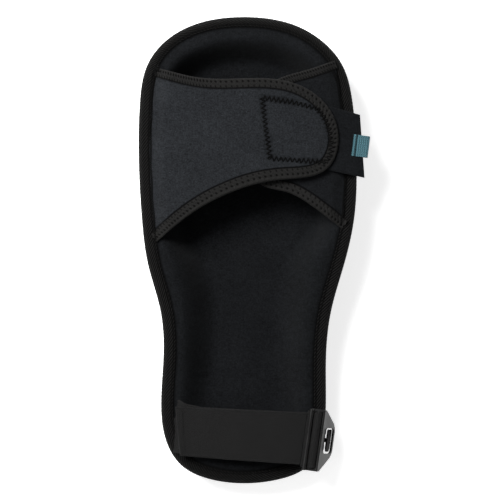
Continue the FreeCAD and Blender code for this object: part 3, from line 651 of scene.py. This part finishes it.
def folded_tape(name, line, spots, width, top, bottom, nose, thick, material, relief, across_step,
                under=None):
    """Tape folded over the edge of a sheet, with thickness inside.

    top and bottom give the outer faces' heights at plan points; relief moves the outer face out and
    gives its painted shade.
    """
    level = np.ones_like(width)
    n_top = max(4, int(round((width.max() - nose) / across_step)))
    n_nose = max(8, int(round(math.pi * nose / across_step)))
    under = width if under is None else under
    n_low = max(3, int(round((under.max() - nose) / (2 * across_step))))

    def faces(depth_in, count_top, count_nose, count_low):
        """Rows of (inset, share of top) for a face depth_in below the outer one."""
        f = np.linspace(0, 1, count_top)[:, None]
        rows = [(width * (1 - f) + nose * f, np.ones_like(f) * level)]
        turn = np.linspace(math.pi / 2, -math.pi / 2, count_nose + 2)[1:-1, None]
        reach = nose - depth_in
        rows.append((nose - reach * np.cos(turn) * level, np.sin(turn) * level))
        f = np.linspace(0, 1, count_low)[:, None]
        rows.append((nose * (1 - f) + under * f, -np.ones_like(f) * level))
        inset = np.concatenate([r[0] for r in rows])
        share = np.concatenate([r[1] for r in rows])
        flat = line.inset(spots, inset)
        high = top(flat, inset) - depth_in
        low = bottom(flat, inset) + depth_in
        z = (high + low) / 2 + (high - low) / 2 * share
        return raised(flat, z), inset, share

    outer, inset, share = faces(0.0, n_top, n_nose, n_low)
    inner, _, _ = faces(thick, 3, 6, 3)
    run = np.gradient(outer, axis=0)
    ahead = join(line.along(spots), np.zeros((len(spots), 1)), axis=1)[None]
    normal = unit(np.cross(np.broadcast_to(ahead, run.shape), run))
    gap = np.linalg.norm(np.diff(outer, axis=0), axis=-1).mean(axis=1)
    across = join([0], np.cumsum(gap))
    push, shade = relief(spots[None] + 0 * inset, across[:, None] + 0 * inset, inset, share)
    outer = outer + normal * push[..., None]
    points = join(outer, inner[::-1])
    back = across[-1] + np.arange(1, len(inner) + 2) * 3.0
    closed = line.closed
    last = line.length if closed else spots[-1]
    along = join(spots, [last]) if closed else spots
    shade = join(shade, np.zeros(inner.shape[:2]))
    if not closed:
        # the two ends are drawn together, so that the tape is a closed skin
        middle = points.mean(axis=0, keepdims=True)[:, [0, -1]]
        points = join(
            np.broadcast_to(middle[:, :1], (len(points), 1, 3)), points,
            np.broadcast_to(middle[:, 1:], (len(points), 1, 3)), axis=1)
        shade = join(shade[:, :1], shade, shade[:, -1:], axis=1)
        along = join(spots[:1], spots, spots[-1:])
    return add_grid(
        name, points, material, join(across, back), along, shade,
        wrap_rows=True, wrap_cols=closed, sharp=40.0)


STITCH_INSET = 1.9
BINDING_NOSE = 4.8
# The binding is gathered into a leaf beside the top of the left flap's root.
LEAF_Y = 78.0


def binding_relief(s, across, inset, share):
    lean = math.radians(RIB_ANGLE)
    rib_place = s * math.sin(lean) + across * math.cos(lean)
    rib = 0.19 * np.cos(TAU * rib_place / RIB_PITCH)
    edge = tape_width(rim.at(s)[..., 1])
    seam = bell(inset - (edge - STITCH_INSET), 0.7)
    sag = 0.18 * np.sin(TAU * s / 6.1 + 2 * np.sin(s / 17))
    hem = bell(inset - edge, 0.5) * (share > 0.5)
    at = rim.at(s)
    left = (at[..., 0] < 0) * (share > 0.5)
    leaf = 1.1 * bell(at[..., 1] - LEAF_Y, 4.2) * bell(inset - 7.4, 1.5) * left
    groove = bell(at[..., 1] - LEAF_Y, 5) * bell(inset - 10.4, 0.9) * left
    push = rib + sag * bell(inset - edge + 1, 2.5) - 0.38 * seam - 0.5 * hem + leaf - 0.4 * groove
    # seam, hem and groove also give painted shade: in the stitch line's trough, along the tape's
    # edge and beside the leaf.
    return push, np.clip(0.85 * seam + 0.5 * hem + 0.6 * groove, 0, 1)


tape_spots = rim.spots(0.6)
binding = folded_tape(
    "edge_binding_tape", rim, tape_spots, tape_width(rim.at(tape_spots)[:, 1]),
    lambda p, d: inner_height(d, p[..., 1]) + TAPE,
    lambda p, d: outer_height(d, p[..., 1]) - TAPE,
    BINDING_NOSE, 1.0, MATERIALS["binding_tape"], binding_relief, 0.5)
place(binding, "pad", "binding_tape", ["edge_binding"])


def binding_line(side):
    def at(where):
        inset = tape_width(rim.at(where)[..., 1]) - STITCH_INSET
        flat = rim.inset(where, inset)
        height = inner_height if side > 0 else outer_height
        return raised(flat, height(inset, flat[..., 1]) + side * (TAPE - 0.15))
    return at


for side, word in ((1, "inner"), (-1, "outer")):
    sewn = tubes(
        "binding_stitches_" + word,
        stitches(binding_line(side), rim.length, 3.1, 0.7, 0.1 * side, 0.35 * side),
        BINDING_THREAD, BLACK_THREAD)
    place(sewn, "pad", "binding_tape")


# -------- flaps

class Arch:
    """A circular arch over X, through three (x, z) points."""

    def __init__(self, left, middle, right):
        (x1, z1), (x2, z2), (x3, z3) = left, middle, right
        a, b, c, d = x2 - x1, z2 - z1, x3 - x1, z3 - z1
        scale = 2 * (a * d - b * c)
        self.x = x1 + (d * (a * a + b * b) - b * (c * c + d * d)) / scale
        self.z = z1 + (a * (c * c + d * d) - c * (a * a + b * b)) / scale
        self.radius = math.hypot(x1 - self.x, z1 - self.z)

    def height(self, x, rise=0.0):
        return self.z + np.sqrt((self.radius + rise) ** 2 - (x - self.x) ** 2)

    def slope(self, x):
        """Radians, positive where the arch climbs towards +X."""
        return -math.asin((x - self.x) / self.radius)


LEFT_ARCH = Arch((-93, 62.5), (-2.5, 74.6), (88, 69.9))
RIGHT_ARCH = Arch((-93, 62.2), (0.5, 66.2), (94, 62.2))
FLAP = 3.8
EDGING = 0.9
LEFT_EDGE = [
    (-84.7, 82.2), (-59.3, 75), (-41, 71.6), (16, 71.2), (47, 66), (74.6, 47.7), (87.7, 14.2),
    (77.5, -13.5), (31.6, -25), (-13.4, -36.5), (-44, -51.8), (-84.7, -83.4),
]
RIGHT_EDGE = [
    (91, -71), (62, -49), (39, -36.5), (15.3, -29.8), (1, -12), (-5, 22), (10, 56), (30, 71),
    (57, 79.5), (84, 89),
]

# The zigzag that holds the hook tape: down the flap, along under it, round the tip and back.
ZIGZAG = [
    (15.5, 52.5), (18.6, 24), (22.8, -4.6), (48, -6.4), (74.5, -8.2), (79.6, -2), (80.8, 10),
    (78.6, 24), (73, 36), (67.5, 42.2), (44, 48.6), (15.5, 52.5),
]
zig_row = Line(np.concatenate([
    Line(spline([a, b])).at(np.linspace(0, math.dist(a, b), 12))
    for a, b in zip(ZIGZAG, ZIGZAG[1:])]))


class Edging:
    """The tape along a flap's edge: its width, its rows of holes and its stitches."""

    def __init__(self, line, widths, lengths):
        self.length = line.length
        self.widths, self.lengths = widths, lengths
        self.places = np.linspace(0, line.length, 800)
        pace = 1 / self.pitch(self.places)
        step = (pace[1:] + pace[:-1]) / 2 * np.diff(self.places)
        self.counts = join([0], np.cumsum(step))
        self.total = int(self.counts[-1])

    def width(self, where):
        return smooth(self.widths, where / self.length)

    def pitch(self, where):
        return smooth(self.lengths, where / self.length)

    def rows(self, where):
        """How far in the two rows of holes are. A wide tape's outer row is further in."""
        width = self.width(where)
        return width * (0.31 + 0.065 * np.clip(width - 9, 0, 2.4)), width * 0.82

    def count(self, where):
        return np.interp(where, self.places, self.counts)

    def where(self, count):
        return np.interp(count, self.counts, self.places)


class Flap:
    """One flap: its outline, how its arch dips to the seam, and its puckers."""

    def __init__(self, arch, edge, seam_middle, dip, seed, widths, lengths):
        self.arch, self.dip, self.seed = arch, dip, seed
        self.edge = Line(spline(edge))
        self.seam = Line(spline([edge[-1], seam_middle, edge[0]]))
        self.tape = Edging(self.edge, widths, lengths)

    def drop(self, p):
        away = distance_to(self.seam, p)
        return self.dip * (1 - eased(away / 16)) ** 1.5

    def under(self, p):
        low = self.arch.height(p[..., 0]) - self.drop(p) * 0.72
        return low + 0.25 * ripple(p[..., 0], p[..., 1], self.seed)

    def top(self, p):
        high = self.arch.height(p[..., 0], FLAP) - self.drop(p)
        return high + 0.45 * ripple(p[..., 0], p[..., 1], self.seed)


# By share of each edge's length: the edging's width, and its stitches' length.
LEFT_WIDTHS = [
    (0, 8.4), (0.15, 9.0), (0.48, 9.2), (0.60, 10.2), (0.74, 11.2), (0.9, 10.6), (1, 9.6),
]
LEFT_LENGTHS = [
    (0, 2.5), (0.10, 2.8), (0.16, 5.1), (0.42, 5.2), (0.50, 4.5), (0.60, 4.8), (0.80, 5.3),
    (0.93, 3.5), (1, 3.1),
]
RIGHT_WIDTHS = [(0, 9.4), (0.3, 9.8), (0.55, 9.0), (0.8, 8.3), (1, 8.2)]
RIGHT_LENGTHS = [(0, 3.1), (0.09, 4.6), (0.16, 5.2), (0.5, 5.0), (0.7, 3.2), (0.8, 2.7), (1, 2.6)]
LEFT = Flap(LEFT_ARCH, LEFT_EDGE, (-91.5, 2), 5.6, 11, LEFT_WIDTHS, LEFT_LENGTHS)
RIGHT = Flap(RIGHT_ARCH, RIGHT_EDGE, (94, 8), 5.2, 12, RIGHT_WIDTHS, RIGHT_LENGTHS)
FLAP_STEP = 1.15
EDGING_STEP = 0.33
EDGING_SEAT = 0.7
EDGING_NOSE = 2.1
EDGING_SKIN = 0.7


def flap_body(name, flap, spine, material, row=None, needles=None):
    """The flap's padded sheet, thinned at its edge, with a trough under each stitched row; painted
    shade darkens it beside the edge tape, along the row and in its needle holes.
    """
    edge_spots, seam_spots = flap.edge.spots(FLAP_STEP), flap.seam.spots(FLAP_STEP)
    loop = join(flap.edge.inset(edge_spots, 0.6)[:-1], flap.seam.at(seam_spots)[:-1])
    flat = rings(loop, spine, ring_shares(30, 56))
    rim_gap, place_on = nearest(flap.edge.at(flap.tape.places), flat)
    past_tape = rim_gap - flap.tape.width(flap.tape.places[place_on])
    seat = 0.8 * (1 - eased((past_tape + 0.5) / 1.6))
    top, low = flap.top(flat) - seat, flap.under(flat)
    # Painted shade beside the edge tape; with a row, also in its trough and needle holes.
    shade = bell(past_tape - 0.3, 0.8)
    if row is not None:
        away = distance_to(row, flat)
        hole = bell(nearest(needles, flat)[0], 1.0)
        top -= 0.45 * bell(away, 2.8) + 0.5 * hole
        shade = np.maximum(shade, 0.32 * bell(away, 2.8) + 0.68 * hole)
    return add_grid(
        name, stacked(flat, top, low), material, wrap_cols=True,
        shade=join(shade[::-1], shade * 0))


def edging_relief(tape):
    def relief(s, across, inset, share):
        """Dimples in two rows, darkened with painted shade, and slanted puffs between them, with
        painted shade along the tape's inner edge.
        """
        push = np.zeros(inset.shape)
        shade = np.zeros(inset.shape)
        upper = share > 0.3
        turns, pitch = tape.count(s), tape.pitch(s)
        outer_row, inner_row = tape.rows(s)
        phase = ((turns + 0.5) % 1 - 0.5) * pitch
        slit = 1.65 - 0.10 * pitch
        for row, half, dark in (
                (outer_row, 0.44 + 0.12 * pitch, 1.0), (inner_row, 0.36 + 0.07 * pitch, 0.85)):
            lean = 0.25 * (inset - row)
            far = ((phase - lean) / half) ** 2 + ((inset - row) / slit) ** 2
            hole = np.exp(-far ** 2) * upper
            push -= 0.42 * dark * hole
            # Painted shade in the hole.
            shade = np.maximum(shade, dark * hole)
        between = (inset - outer_row) / (inner_row - outer_row)
        puff = np.cos(TAU * (turns - between - 0.5)) * bell(between - 0.5, 0.45)
        push += 0.2 * puff * upper
        push += 0.16 * np.cos(TAU * (turns - 0.5)) * bell(inset - 0.45 * outer_row, 1.2)
        hem = bell(inset - tape.width(s), 0.65) * upper
        return push - 0.4 * hem, np.clip(shade + hem, 0, 1)
    return relief


def flap_edging(name, flap):
    spots = flap.edge.spots(EDGING_STEP)
    width = flap.tape.width(spots)
    return folded_tape(
        name, flap.edge, spots, width,
        lambda p, d: flap.top(p) - EDGING_SEAT + EDGING, lambda p, d: flap.under(p) - 0.5,
        EDGING_NOSE, EDGING_SKIN, MATERIALS["flap_tape"], edging_relief(flap.tape), 0.4,
        under=width * 0.5)


def edging_stitches(name, flap):
    """Straight stitches from hole to hole in both rows, and the thread that laces them."""
    tape = flap.tape
    stitch, lace = np.linspace(0.24, 0.76, 7), np.linspace(0.18, 0.82, 7)
    hump = np.array([-0.5, 0.02, 0.12, 0.15, 0.12, 0.02, -0.5])
    paths = []

    def surface(where, row, rise):
        flat = flap.edge.inset(where, row)
        return raised(flat, flap.top(flat) + EDGING - 0.72 + rise)

    for k in range(tape.total):
        where = tape.where(k + stitch)
        for row in tape.rows(where):
            paths.append(surface(where, row, hump))
        outer_row, inner_row = tape.rows(where)
        row = outer_row + (inner_row - outer_row) * lace
        paths.append(surface(tape.where(k + lace), row, hump + 0.08))
    return tubes(name, paths, COVER_STITCH_THREAD, TAPE_THREAD, sides=5)


ZIG_PITCH = 4.3
ZIG_WIDTH = 2.4
zig_count = int(zig_row.length / ZIG_PITCH * 2)
zig_f = np.linspace(0, zig_row.length, zig_count * 8 + 1)
swing = 2 / math.pi * np.arcsin(np.sin(TAU * zig_f / ZIG_PITCH))
zig_flat = zig_row.inset(zig_f, swing * ZIG_WIDTH)
needle_points = zig_flat[np.abs(swing) > 0.93]


def whole_flap(name, flap, spine, material, ends, row=None, needles=None):
    """A flap's sheet, edge tape and stitches."""
    sheet = flap_body(name + "_sheet", flap, spine, MATERIALS[material], row, needles)
    edging = flap_edging(name + "_edge_tape", flap)
    sewing = edging_stitches(name + "_cover_stitch", flap)
    bend(sheet, "pad", name, *ends, "flap_neoprene", [name])
    bend(edging, "pad", name, *ends, "flap_tape", [name + "_edging"])
    bend(sewing, "pad", name, *ends, "flap_tape")
    return sheet, edging, sewing


LEFT_BEND = ((-0.0926, 0, 0.0674), (-0.078, 0, 0.0674))
RIGHT_BEND = ((0.0952, 0, 0.0671), (0.080, 0, 0.0671))
left_flap, left_edging, left_sewing = whole_flap(
    "left_flap", LEFT, [(-50, 2), (55, 16)], "flap_neoprene", LEFT_BEND, zig_row, needle_points)
# The right flap uses the darker copy of the flap knit, as painted shade.
right_flap, right_edging, right_sewing = whole_flap(
    "right_flap", RIGHT, [(62, 8), (28, 18)], "shaded_flap", RIGHT_BEND)

tape_gap, tape_place = nearest(LEFT.edge.at(LEFT.tape.places), zig_flat)
on_tape = tape_gap < LEFT.tape.width(LEFT.tape.places[tape_place])
zig_z = LEFT.top(zig_flat) - 0.10 - 0.75 * np.abs(swing) ** 4 + np.where(on_tape, 0.45, 0)
zigzag = tubes("hook_tape_zigzag", [raised(zig_flat, zig_z)], ZIGZAG_THREAD, BLACK_THREAD)
place(zigzag, "left_flap", "hook_tape")


# -------- sewing at the flaps' roots

CHAIN_LINK = 4.4


def root_chain(name, flap, side):
    """Two threads that cross in links, along the line where the flap is sewn in."""
    spots = np.arange(0, rim.length, 0.55)
    rim_y, rim_x = rim.at(spots)[:, 1], rim.at(spots)[:, 0]
    spots = spots[(rim_x * side > 0) & (rim_y > flap.seam.points[:, 1].min()) & (rim_y < 86)]
    paths = []
    for phase in (0.0, math.pi):
        sway = np.sin(TAU * spots / CHAIN_LINK + phase)
        loose = 0.75 + 0.55 * bell(rim.at(spots)[:, 1] - 82, 16)
        inset = tape_width(rim.at(spots)[:, 1]) + 0.1 + sway * loose + 0.3 * np.sin(spots / 5.3)
        flat = rim.inset(spots, inset)
        z = np.maximum(inner_height(inset, flat[:, 1]) + TAPE, flap.top(flat))
        z += 0.15 + 0.22 * np.cos(TAU * spots / CHAIN_LINK + phase)
        paths.append(raised(flat, z))
    return tubes(name, paths, CHAIN_THREAD, BLACK_THREAD)


place(root_chain("left_root_chain", LEFT, -1), "pad", "binding_tape")
place(root_chain("right_root_chain", RIGHT, 1), "pad", "binding_tape")

# Where the thread was tied off, at the top of the left root.
KNOT = (-83.6, 80.6)
turns = np.linspace(0, TAU, 90)
knot_x = KNOT[0] + 1.5 * np.cos(3 * turns) + 0.5 * np.sin(turns)
knot_y = KNOT[1] + 2.4 * np.sin(2 * turns + 0.5)
knot_flat = columns(knot_x, knot_y)
knot_z = LEFT.top(knot_flat) + 0.9 + 0.7 * np.sin(5 * turns)
knot = tubes("root_knot", [raised(knot_flat, knot_z)], KNOT_THREAD, BLACK_THREAD)
place(knot, "pad", "binding_tape")


# -------- hook tape and pull tab

def sheet_between(name, first, second, low, high, height, material, steps, wave=None, bead=0.0):
    """Thin closed sheet between two edge lines in plan, between two offsets of a surface.

    bead is how much thicker its two long edges are.
    """
    f = np.linspace(0, 1, steps[0])[:, None, None]
    flat = first[None] * (1 - f) + second[None] * f
    edge_a = np.minimum(f, 1 - f)[..., 0] * np.linalg.norm(second - first, axis=-1)[None]
    run = arc_lengths((first + second) / 2)
    edge_b = np.minimum(run, run[-1] - run)[None] + 0 * edge_a
    half = (high - low) / 2
    near_edge = np.clip(np.minimum(edge_a, edge_b) / half, 0, 1)
    swell = half * np.sqrt(np.clip(1 - (1 - near_edge) ** 2, 0.0, 1))
    swell += bead * bell(edge_a - 1.1, 0.7) * near_edge
    middle = height(flat[..., 0], (high + low) / 2)
    if wave is not None:
        middle = middle + wave(flat)
    rows, cols = flat.shape[:2]
    faces, row, col = grid(rows, cols)
    across = f[:, 0, 0] * np.linalg.norm(second - first, axis=-1).mean()
    uv = columns(run[col], across[row])
    points = join(raised(flat, middle + swell), raised(flat, middle - swell))
    every = join(faces, faces[:, ::-1] + rows * cols)
    return add_mesh(name, points, every, material, join(uv, uv[:, ::-1]), sharp=60)


def packed(count):
    """Fractions 0 to 1 with extra places close to both ends."""
    ends = np.array([0, 0.0015, 0.005, 0.010, 0.018])
    return join(ends, np.linspace(0.03, 0.97, count), 1 - ends[::-1])


def polyline(points, count):
    line = Line(points)
    return line.at(packed(count) * line.length)


def folded_band(name, centre, side, across, thick, bevel, skins, matrix, material, shade=None):
    """Closed webbing along a centre line in X and Z, with side's places in Y.

    across is each place's texture coordinate, and skins the order of the two faces.
    """
    tangent = unit(np.gradient(centre, axis=0))
    normal = columns(-tangent[:, 1], tangent[:, 0])
    run = arc_lengths(centre)
    edge_gap = np.minimum(
        side[-1] - np.abs(side)[None], np.minimum(run, run[-1] - run)[:, None] + 0.001)
    swell = thick / 2 * np.sqrt(1 - (1 - np.clip(edge_gap / bevel, 0, 1)) ** 2)
    points = []
    for face in skins:
        xz = centre[:, None] + normal[:, None] * (face * swell)[..., None]
        y = np.broadcast_to(side, swell.shape)
        points.append(columns(xz[..., 0], y, xz[..., 1]).reshape(-1, 3))
    quads, row, col = grid(*swell.shape)
    uv = columns(run[row], across[col])
    return add_mesh(
        name, placed(matrix, np.concatenate(points)),
        join(quads, quads[:, ::-1] + swell.size), material,
        join(uv, uv[:, ::-1]), shade, 60)


TAB_HIGH, TAB_LOW = -0.1, -2.1
tab_top = polyline([(14.4, 53.5), (79.4, 44.9), (108.1, 37.2)], 90)
tab_low = polyline([(21.0, -6.0), (77.5, -15.4), (112.4, -22.6)], 90)
hook_tab = sheet_between(
    "hook_tape_tab", tab_top, tab_low, TAB_LOW, TAB_HIGH, LEFT_ARCH.height,
    MATERIALS["hook_tape"], (60, 90))
bend(hook_tab, "left_flap", "tab_end", (0.0887, 0.01, 0.0699), (0.095, 0.01, 0.0692),
     "hook_tape", ["hook_tab", "hook_tab_end"])

PULL_X, PULL_Y, PULL_TURN = 100.0, 8.5, math.radians(-7)
PULL_LENGTH, PULL_WIDTH, PULL_THICK = 17.0, 20.5, 1.1
PULL_HALF_GAP = 1.45
PULL_STITCH = 3.9


def pull_path():
    """Centre line of the folded webbing in its own X and Z, with its free end first."""
    half = PULL_HALF_GAP + PULL_THICK / 2
    end = PULL_LENGTH - half - PULL_THICK / 2
    fold = np.linspace(0, math.pi, 15)[1:-1]
    x = join(
        np.linspace(0.6, end, 46), end + half * np.sin(fold), np.linspace(end, 0, 40))
    z = join(np.full(46, half), half * np.cos(fold), np.full(40, -half))
    z[:46] += 0.5 * np.clip(1 - x[:46] / PULL_STITCH, 0, 1) - 0.45 * bell(x[:46] - PULL_STITCH, 0.9)
    return columns(x, z)


pull_centre = pull_path()
pull_side = (packed(40) - 0.5) * PULL_WIDTH
slope = LEFT_ARCH.slope(PULL_X + PULL_LENGTH / 2)
pull_z = float(LEFT_ARCH.height(PULL_X, (TAB_LOW + TAB_HIGH) / 2))
pull_matrix = (
    Matrix.Translation((PULL_X, PULL_Y, pull_z))
    @ Matrix.Rotation(PULL_TURN, 4, "Z") @ Matrix.Rotation(-slope, 4, "Y"))
# Painted shade along the stitch line's trough on the tab's upper leg.
stitch_line_shade = bell(pull_centre[:, 0] - PULL_STITCH, 0.75) * (pull_centre[:, 1] > 0)
pull = folded_band(
    "pull_tab_webbing", pull_centre, pull_side, np.abs(pull_side), PULL_THICK, 0.5, (1, -1),
    pull_matrix, MATERIALS["pull_webbing"], np.tile(np.repeat(stitch_line_shade, len(pull_side)), 2))
place(pull, "tab_end", "pull_webbing", ["pull_tab"])
pull_row = []
for side in (1, -1):
    def pull_at(where, side=side):
        x = np.full(len(where), PULL_STITCH)
        z = np.full(len(where), side * (PULL_HALF_GAP + PULL_THICK - 0.15))
        return columns(x, where - PULL_WIDTH / 2, z)
    for path in stitches(pull_at, PULL_WIDTH, 2.5, 0.5, 0.12 * side, 0.4 * side, 0.3):
        pull_row.append(placed(pull_matrix, path))
pull_sewing = tubes("pull_tab_stitches", pull_row, PULL_THREAD, BLACK_THREAD)
place(pull_sewing, "tab_end", "pull_webbing")


# -------- clip frame, strap and loop

CLIP_Y = -272.0
CLIP_TURN = math.radians(-8)
BAR_INBOARD = 7.3
BAR_ABOVE_TAPE = 12.0
BAR_RADIUS = 2.1
HINGE_INBOARD = 10.4
STRAP = 1.5
HALF_STRAP = 25.0
BAR_GAP = 0.35
SELVAGE = 0.2
LOOP = 1.9
LOOP_RADIUS = BAR_RADIUS + BAR_GAP + LOOP / 2
HALF_LOOP = 26.9
LOOP_END = -10.3
STRAP_END = -10.1
STRAP_START = -69.5

right_side = rim.points[rim.points[:, 0] > 0]
rim_x = float(np.interp(-CLIP_Y, -right_side[:, 1], right_side[:, 0]))
bar = np.array([
    rim_x - BAR_INBOARD, CLIP_Y, float(smooth(RIM_HEIGHT, CLIP_Y)) + TAPE + BAR_ABOVE_TAPE])
clip_matrix = Matrix.Translation(bar.tolist()) @ Matrix.Rotation(CLIP_TURN, 4, "Z")


def in_clip(x, y, z):
    return placed(clip_matrix, np.array([x, y, z], float))


hinge = in_clip(-HINGE_INBOARD, 0, 0)
STRAP_ARCH = Arch(
    (STRAP_START, 43.6), (-7, 48.8), (hinge[0], bar[2] - BAR_RADIUS - BAR_GAP - STRAP))
right_top = in_clip(STRAP_END, HALF_STRAP, 0)[:2]
right_low = in_clip(STRAP_END, -HALF_STRAP, 0)[:2]
PATCH_LOW = STRAP + 0.3
RETURN_LOW = PATCH_LOW + 1.4
HEM = 7.0


def base_wave(flat):
    """The base leg dips under the binding at its seam, and its top corner buckles up."""
    dip = 4.6 * (1 - eased((flat[..., 0] - STRAP_START) / 13)) ** 1.4
    corner = bell(flat[..., 0] + 60, 6) * bell(flat[..., 1] + 235, 9)
    return 1.0 * corner - dip


base_top = polyline([
    (STRAP_START, -234.0), (-63.5, -234.2), (-57, -237.8), (-42, -241.0), right_top], 110)
base_low = polyline([(STRAP_START, -285.0), right_low], 110)
base_leg = sheet_between(
    "strap_base_leg", base_top, base_low, 0, STRAP, STRAP_ARCH.height, MATERIALS["elastic"],
    (90, 110), wave=base_wave, bead=SELVAGE)
return_top = polyline([(-67.5, -240.3), (-20, -242.6), right_top], 110)
return_low = polyline([(-63.0, -287.2), (-20, -290.6), right_low], 110)


def return_wave(flat):
    along_strap = flat[..., 0] + 65
    hem = 0.35 * (1 - eased((along_strap - HEM) / 1.5))
    trough = 0.35 * bell(along_strap - HEM + 0.5, 0.9)
    lift = 0.8 * (1 - eased(along_strap / 12))
    slack = 0.25 * ripple(flat[..., 0], flat[..., 1], 21) * eased(along_strap / 30)
    return hem - trough + lift + slack


return_leg = sheet_between(
    "strap_return_leg", return_top, return_low, RETURN_LOW, RETURN_LOW + STRAP,
    STRAP_ARCH.height, MATERIALS["elastic"], (90, 110), wave=return_wave, bead=SELVAGE)
patch = sheet_between(
    "strap_hook_tape", polyline([(-64.5, -243.0), (-22, -244.5)], 50),
    polyline([(-60.5, -285.0), (-20, -288.5)], 50),
    PATCH_LOW, PATCH_LOW + 1.2, STRAP_ARCH.height, MATERIALS["hook_tape"], (50, 50))

hem_line = Line([(-60.9, -243.8), (-57.3, -286.2)])


def hem_at(where):
    flat = hem_line.at(where)
    z = STRAP_ARCH.height(flat[..., 0], RETURN_LOW + STRAP) + return_wave(flat) - 0.12
    return raised(flat, z)


hem_stitches = tubes(
    "strap_hem_stitches", stitches(hem_at, hem_line.length, 2.4, 0.8, 0.1, 0.4),
    HEM_THREAD, BLACK_THREAD)

turn = math.asin(LOOP_RADIUS / 10.0)
lower = columns(np.linspace(LOOP_END, 0, 14), np.full(14, -LOOP_RADIUS))
sweep = np.linspace(-math.pi / 2, math.pi / 2 + turn, 30)[1:]
around = LOOP_RADIUS * columns(np.cos(sweep), np.sin(sweep))
last = around[-1]
back = np.array([LOOP_END, 0.0])
upper = last + (back - last) * np.linspace(0, 1, 14)[1:, None]
loop_line = join(lower, around, upper)
loop_side = (packed(40) - 0.5) * 2 * HALF_LOOP
loop = folded_band(
    "strap_bar_loop", loop_line, loop_side, loop_side, LOOP, 0.6, (-1, 1), clip_matrix,
    MATERIALS["elastic"])

strap_hinge = metres(hinge)
bend(base_leg, "pad", "strap", metres((-70, -262, 45.3)), metres((-50, -262, 45.3)),
     "elastic", ["calf_strap"])
bend(return_leg, "strap_end", "strap", metres(in_clip(-18, 0, 0)), strap_hinge,
     "elastic", ["strap_return"])
bend(loop, "strap", "clip", strap_hinge, metres(in_clip(-8, 0, 0)),
     "elastic", ["strap_loop"])
place(patch, "strap_end", "hook_tape", ["strap_hook_patch"])
place(hem_stitches, "strap_end", "elastic")


# -------- hard CAD nodes

# CAD nodes that stay as they are: the material, the size of the remesh that rounds their
# moulded edges, in millimetres, and its rounds of smoothing.
for name, material, voxel, rounds in (
        ("strap_clip", "clip_plastic", 0.36, 6), ("side_stud", "stud_plastic", 0.3, 4),
        ("stud_backing_plate", "rivet_metal", 0.25, 2), ("stud_rivets", "rivet_metal", 0.2, 3),
        ("knee_cap", "cap_rubber", 0.8, 3), ("shin_cap", "cap_rubber", 0.8, 3),
        ("knee_gel_pad", "gel", 1.2, 3), ("shin_cushion", "soft_foam", 1.2, 3)):
    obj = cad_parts[name]
    obj.data.materials.clear()
    obj.data.materials.append(MATERIALS[material])
    obj.data.shade_smooth()
    remesh = obj.modifiers.new("even", "REMESH")
    remesh.mode = "VOXEL"
    remesh.voxel_size = voxel * MM
    remesh.use_smooth_shade = True
    soft = obj.modifiers.new("soft_edges", "SMOOTH")
    soft.factor = 0.5
    soft.iterations = rounds


# -------- floor, camera and light

floor_material = Nodes("floor")
tone = floor_material.noise(0.02, 2.0, 0.5)
floor_material.finish(
    floor_material.ramp(tone, *greys(0.86, 0.89)), 0.6,
    **{"Emission Color": (1, 1, 1, 1), "Emission Strength": 0.70})
FLOOR_CLEARANCE = 0.0002
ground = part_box("knee_cap")[0][2]
bpy.ops.mesh.primitive_plane_add(size=6.0, location=(0, 0, ground - FLOOR_CLEARANCE))
floor = bpy.context.object
floor.name = "floor"
floor.data.materials.append(floor_material.material)

SENSOR = 36.0
VIEW_WIDTH = 478.5
VIEW_HEIGHT = 40.0
CAMERA = (3.8, -91.0, 2700.0)
camera_data = bpy.data.cameras.new("camera")
camera_data.sensor_width = SENSOR
camera_data.lens = SENSOR * (CAMERA[2] - VIEW_HEIGHT) / VIEW_WIDTH
camera = bpy.data.objects.new("camera", camera_data)
camera.location = metres(CAMERA)
bpy.context.collection.objects.link(camera)
bpy.context.scene.camera = camera

for name, location, aim, size, power in (
        ("key", (-0.80, 0.75, 1.60), (0, -0.05, 0.05), 0.8, 58),
        ("fill", (-1.2, -0.7, 1.2), (0, -0.1, 0.05), 1.2, 5),
        ("side", (1.4, 0.1, 1.0), (0, -0.1, 0.05), 1.0, 2)):
    light = bpy.data.lights.new(name, "AREA")
    light.shape, light.size, light.energy = "SQUARE", size, power
    lamp = bpy.data.objects.new(name, light)
    lamp.location = location
    toward = Vector(aim) - Vector(location)
    lamp.rotation_euler = toward.to_track_quat("-Z", "Y").to_euler()
    bpy.context.collection.objects.link(lamp)
world = bpy.data.worlds.new("studio")
world.use_nodes = True
sky = world.node_tree.nodes["Background"]
sky.inputs["Color"].default_value = (1, 1, 1, 1)
sky.inputs["Strength"].default_value = 0.18
bpy.context.scene.world = world
bpy.context.scene.view_settings.view_transform = "Standard"
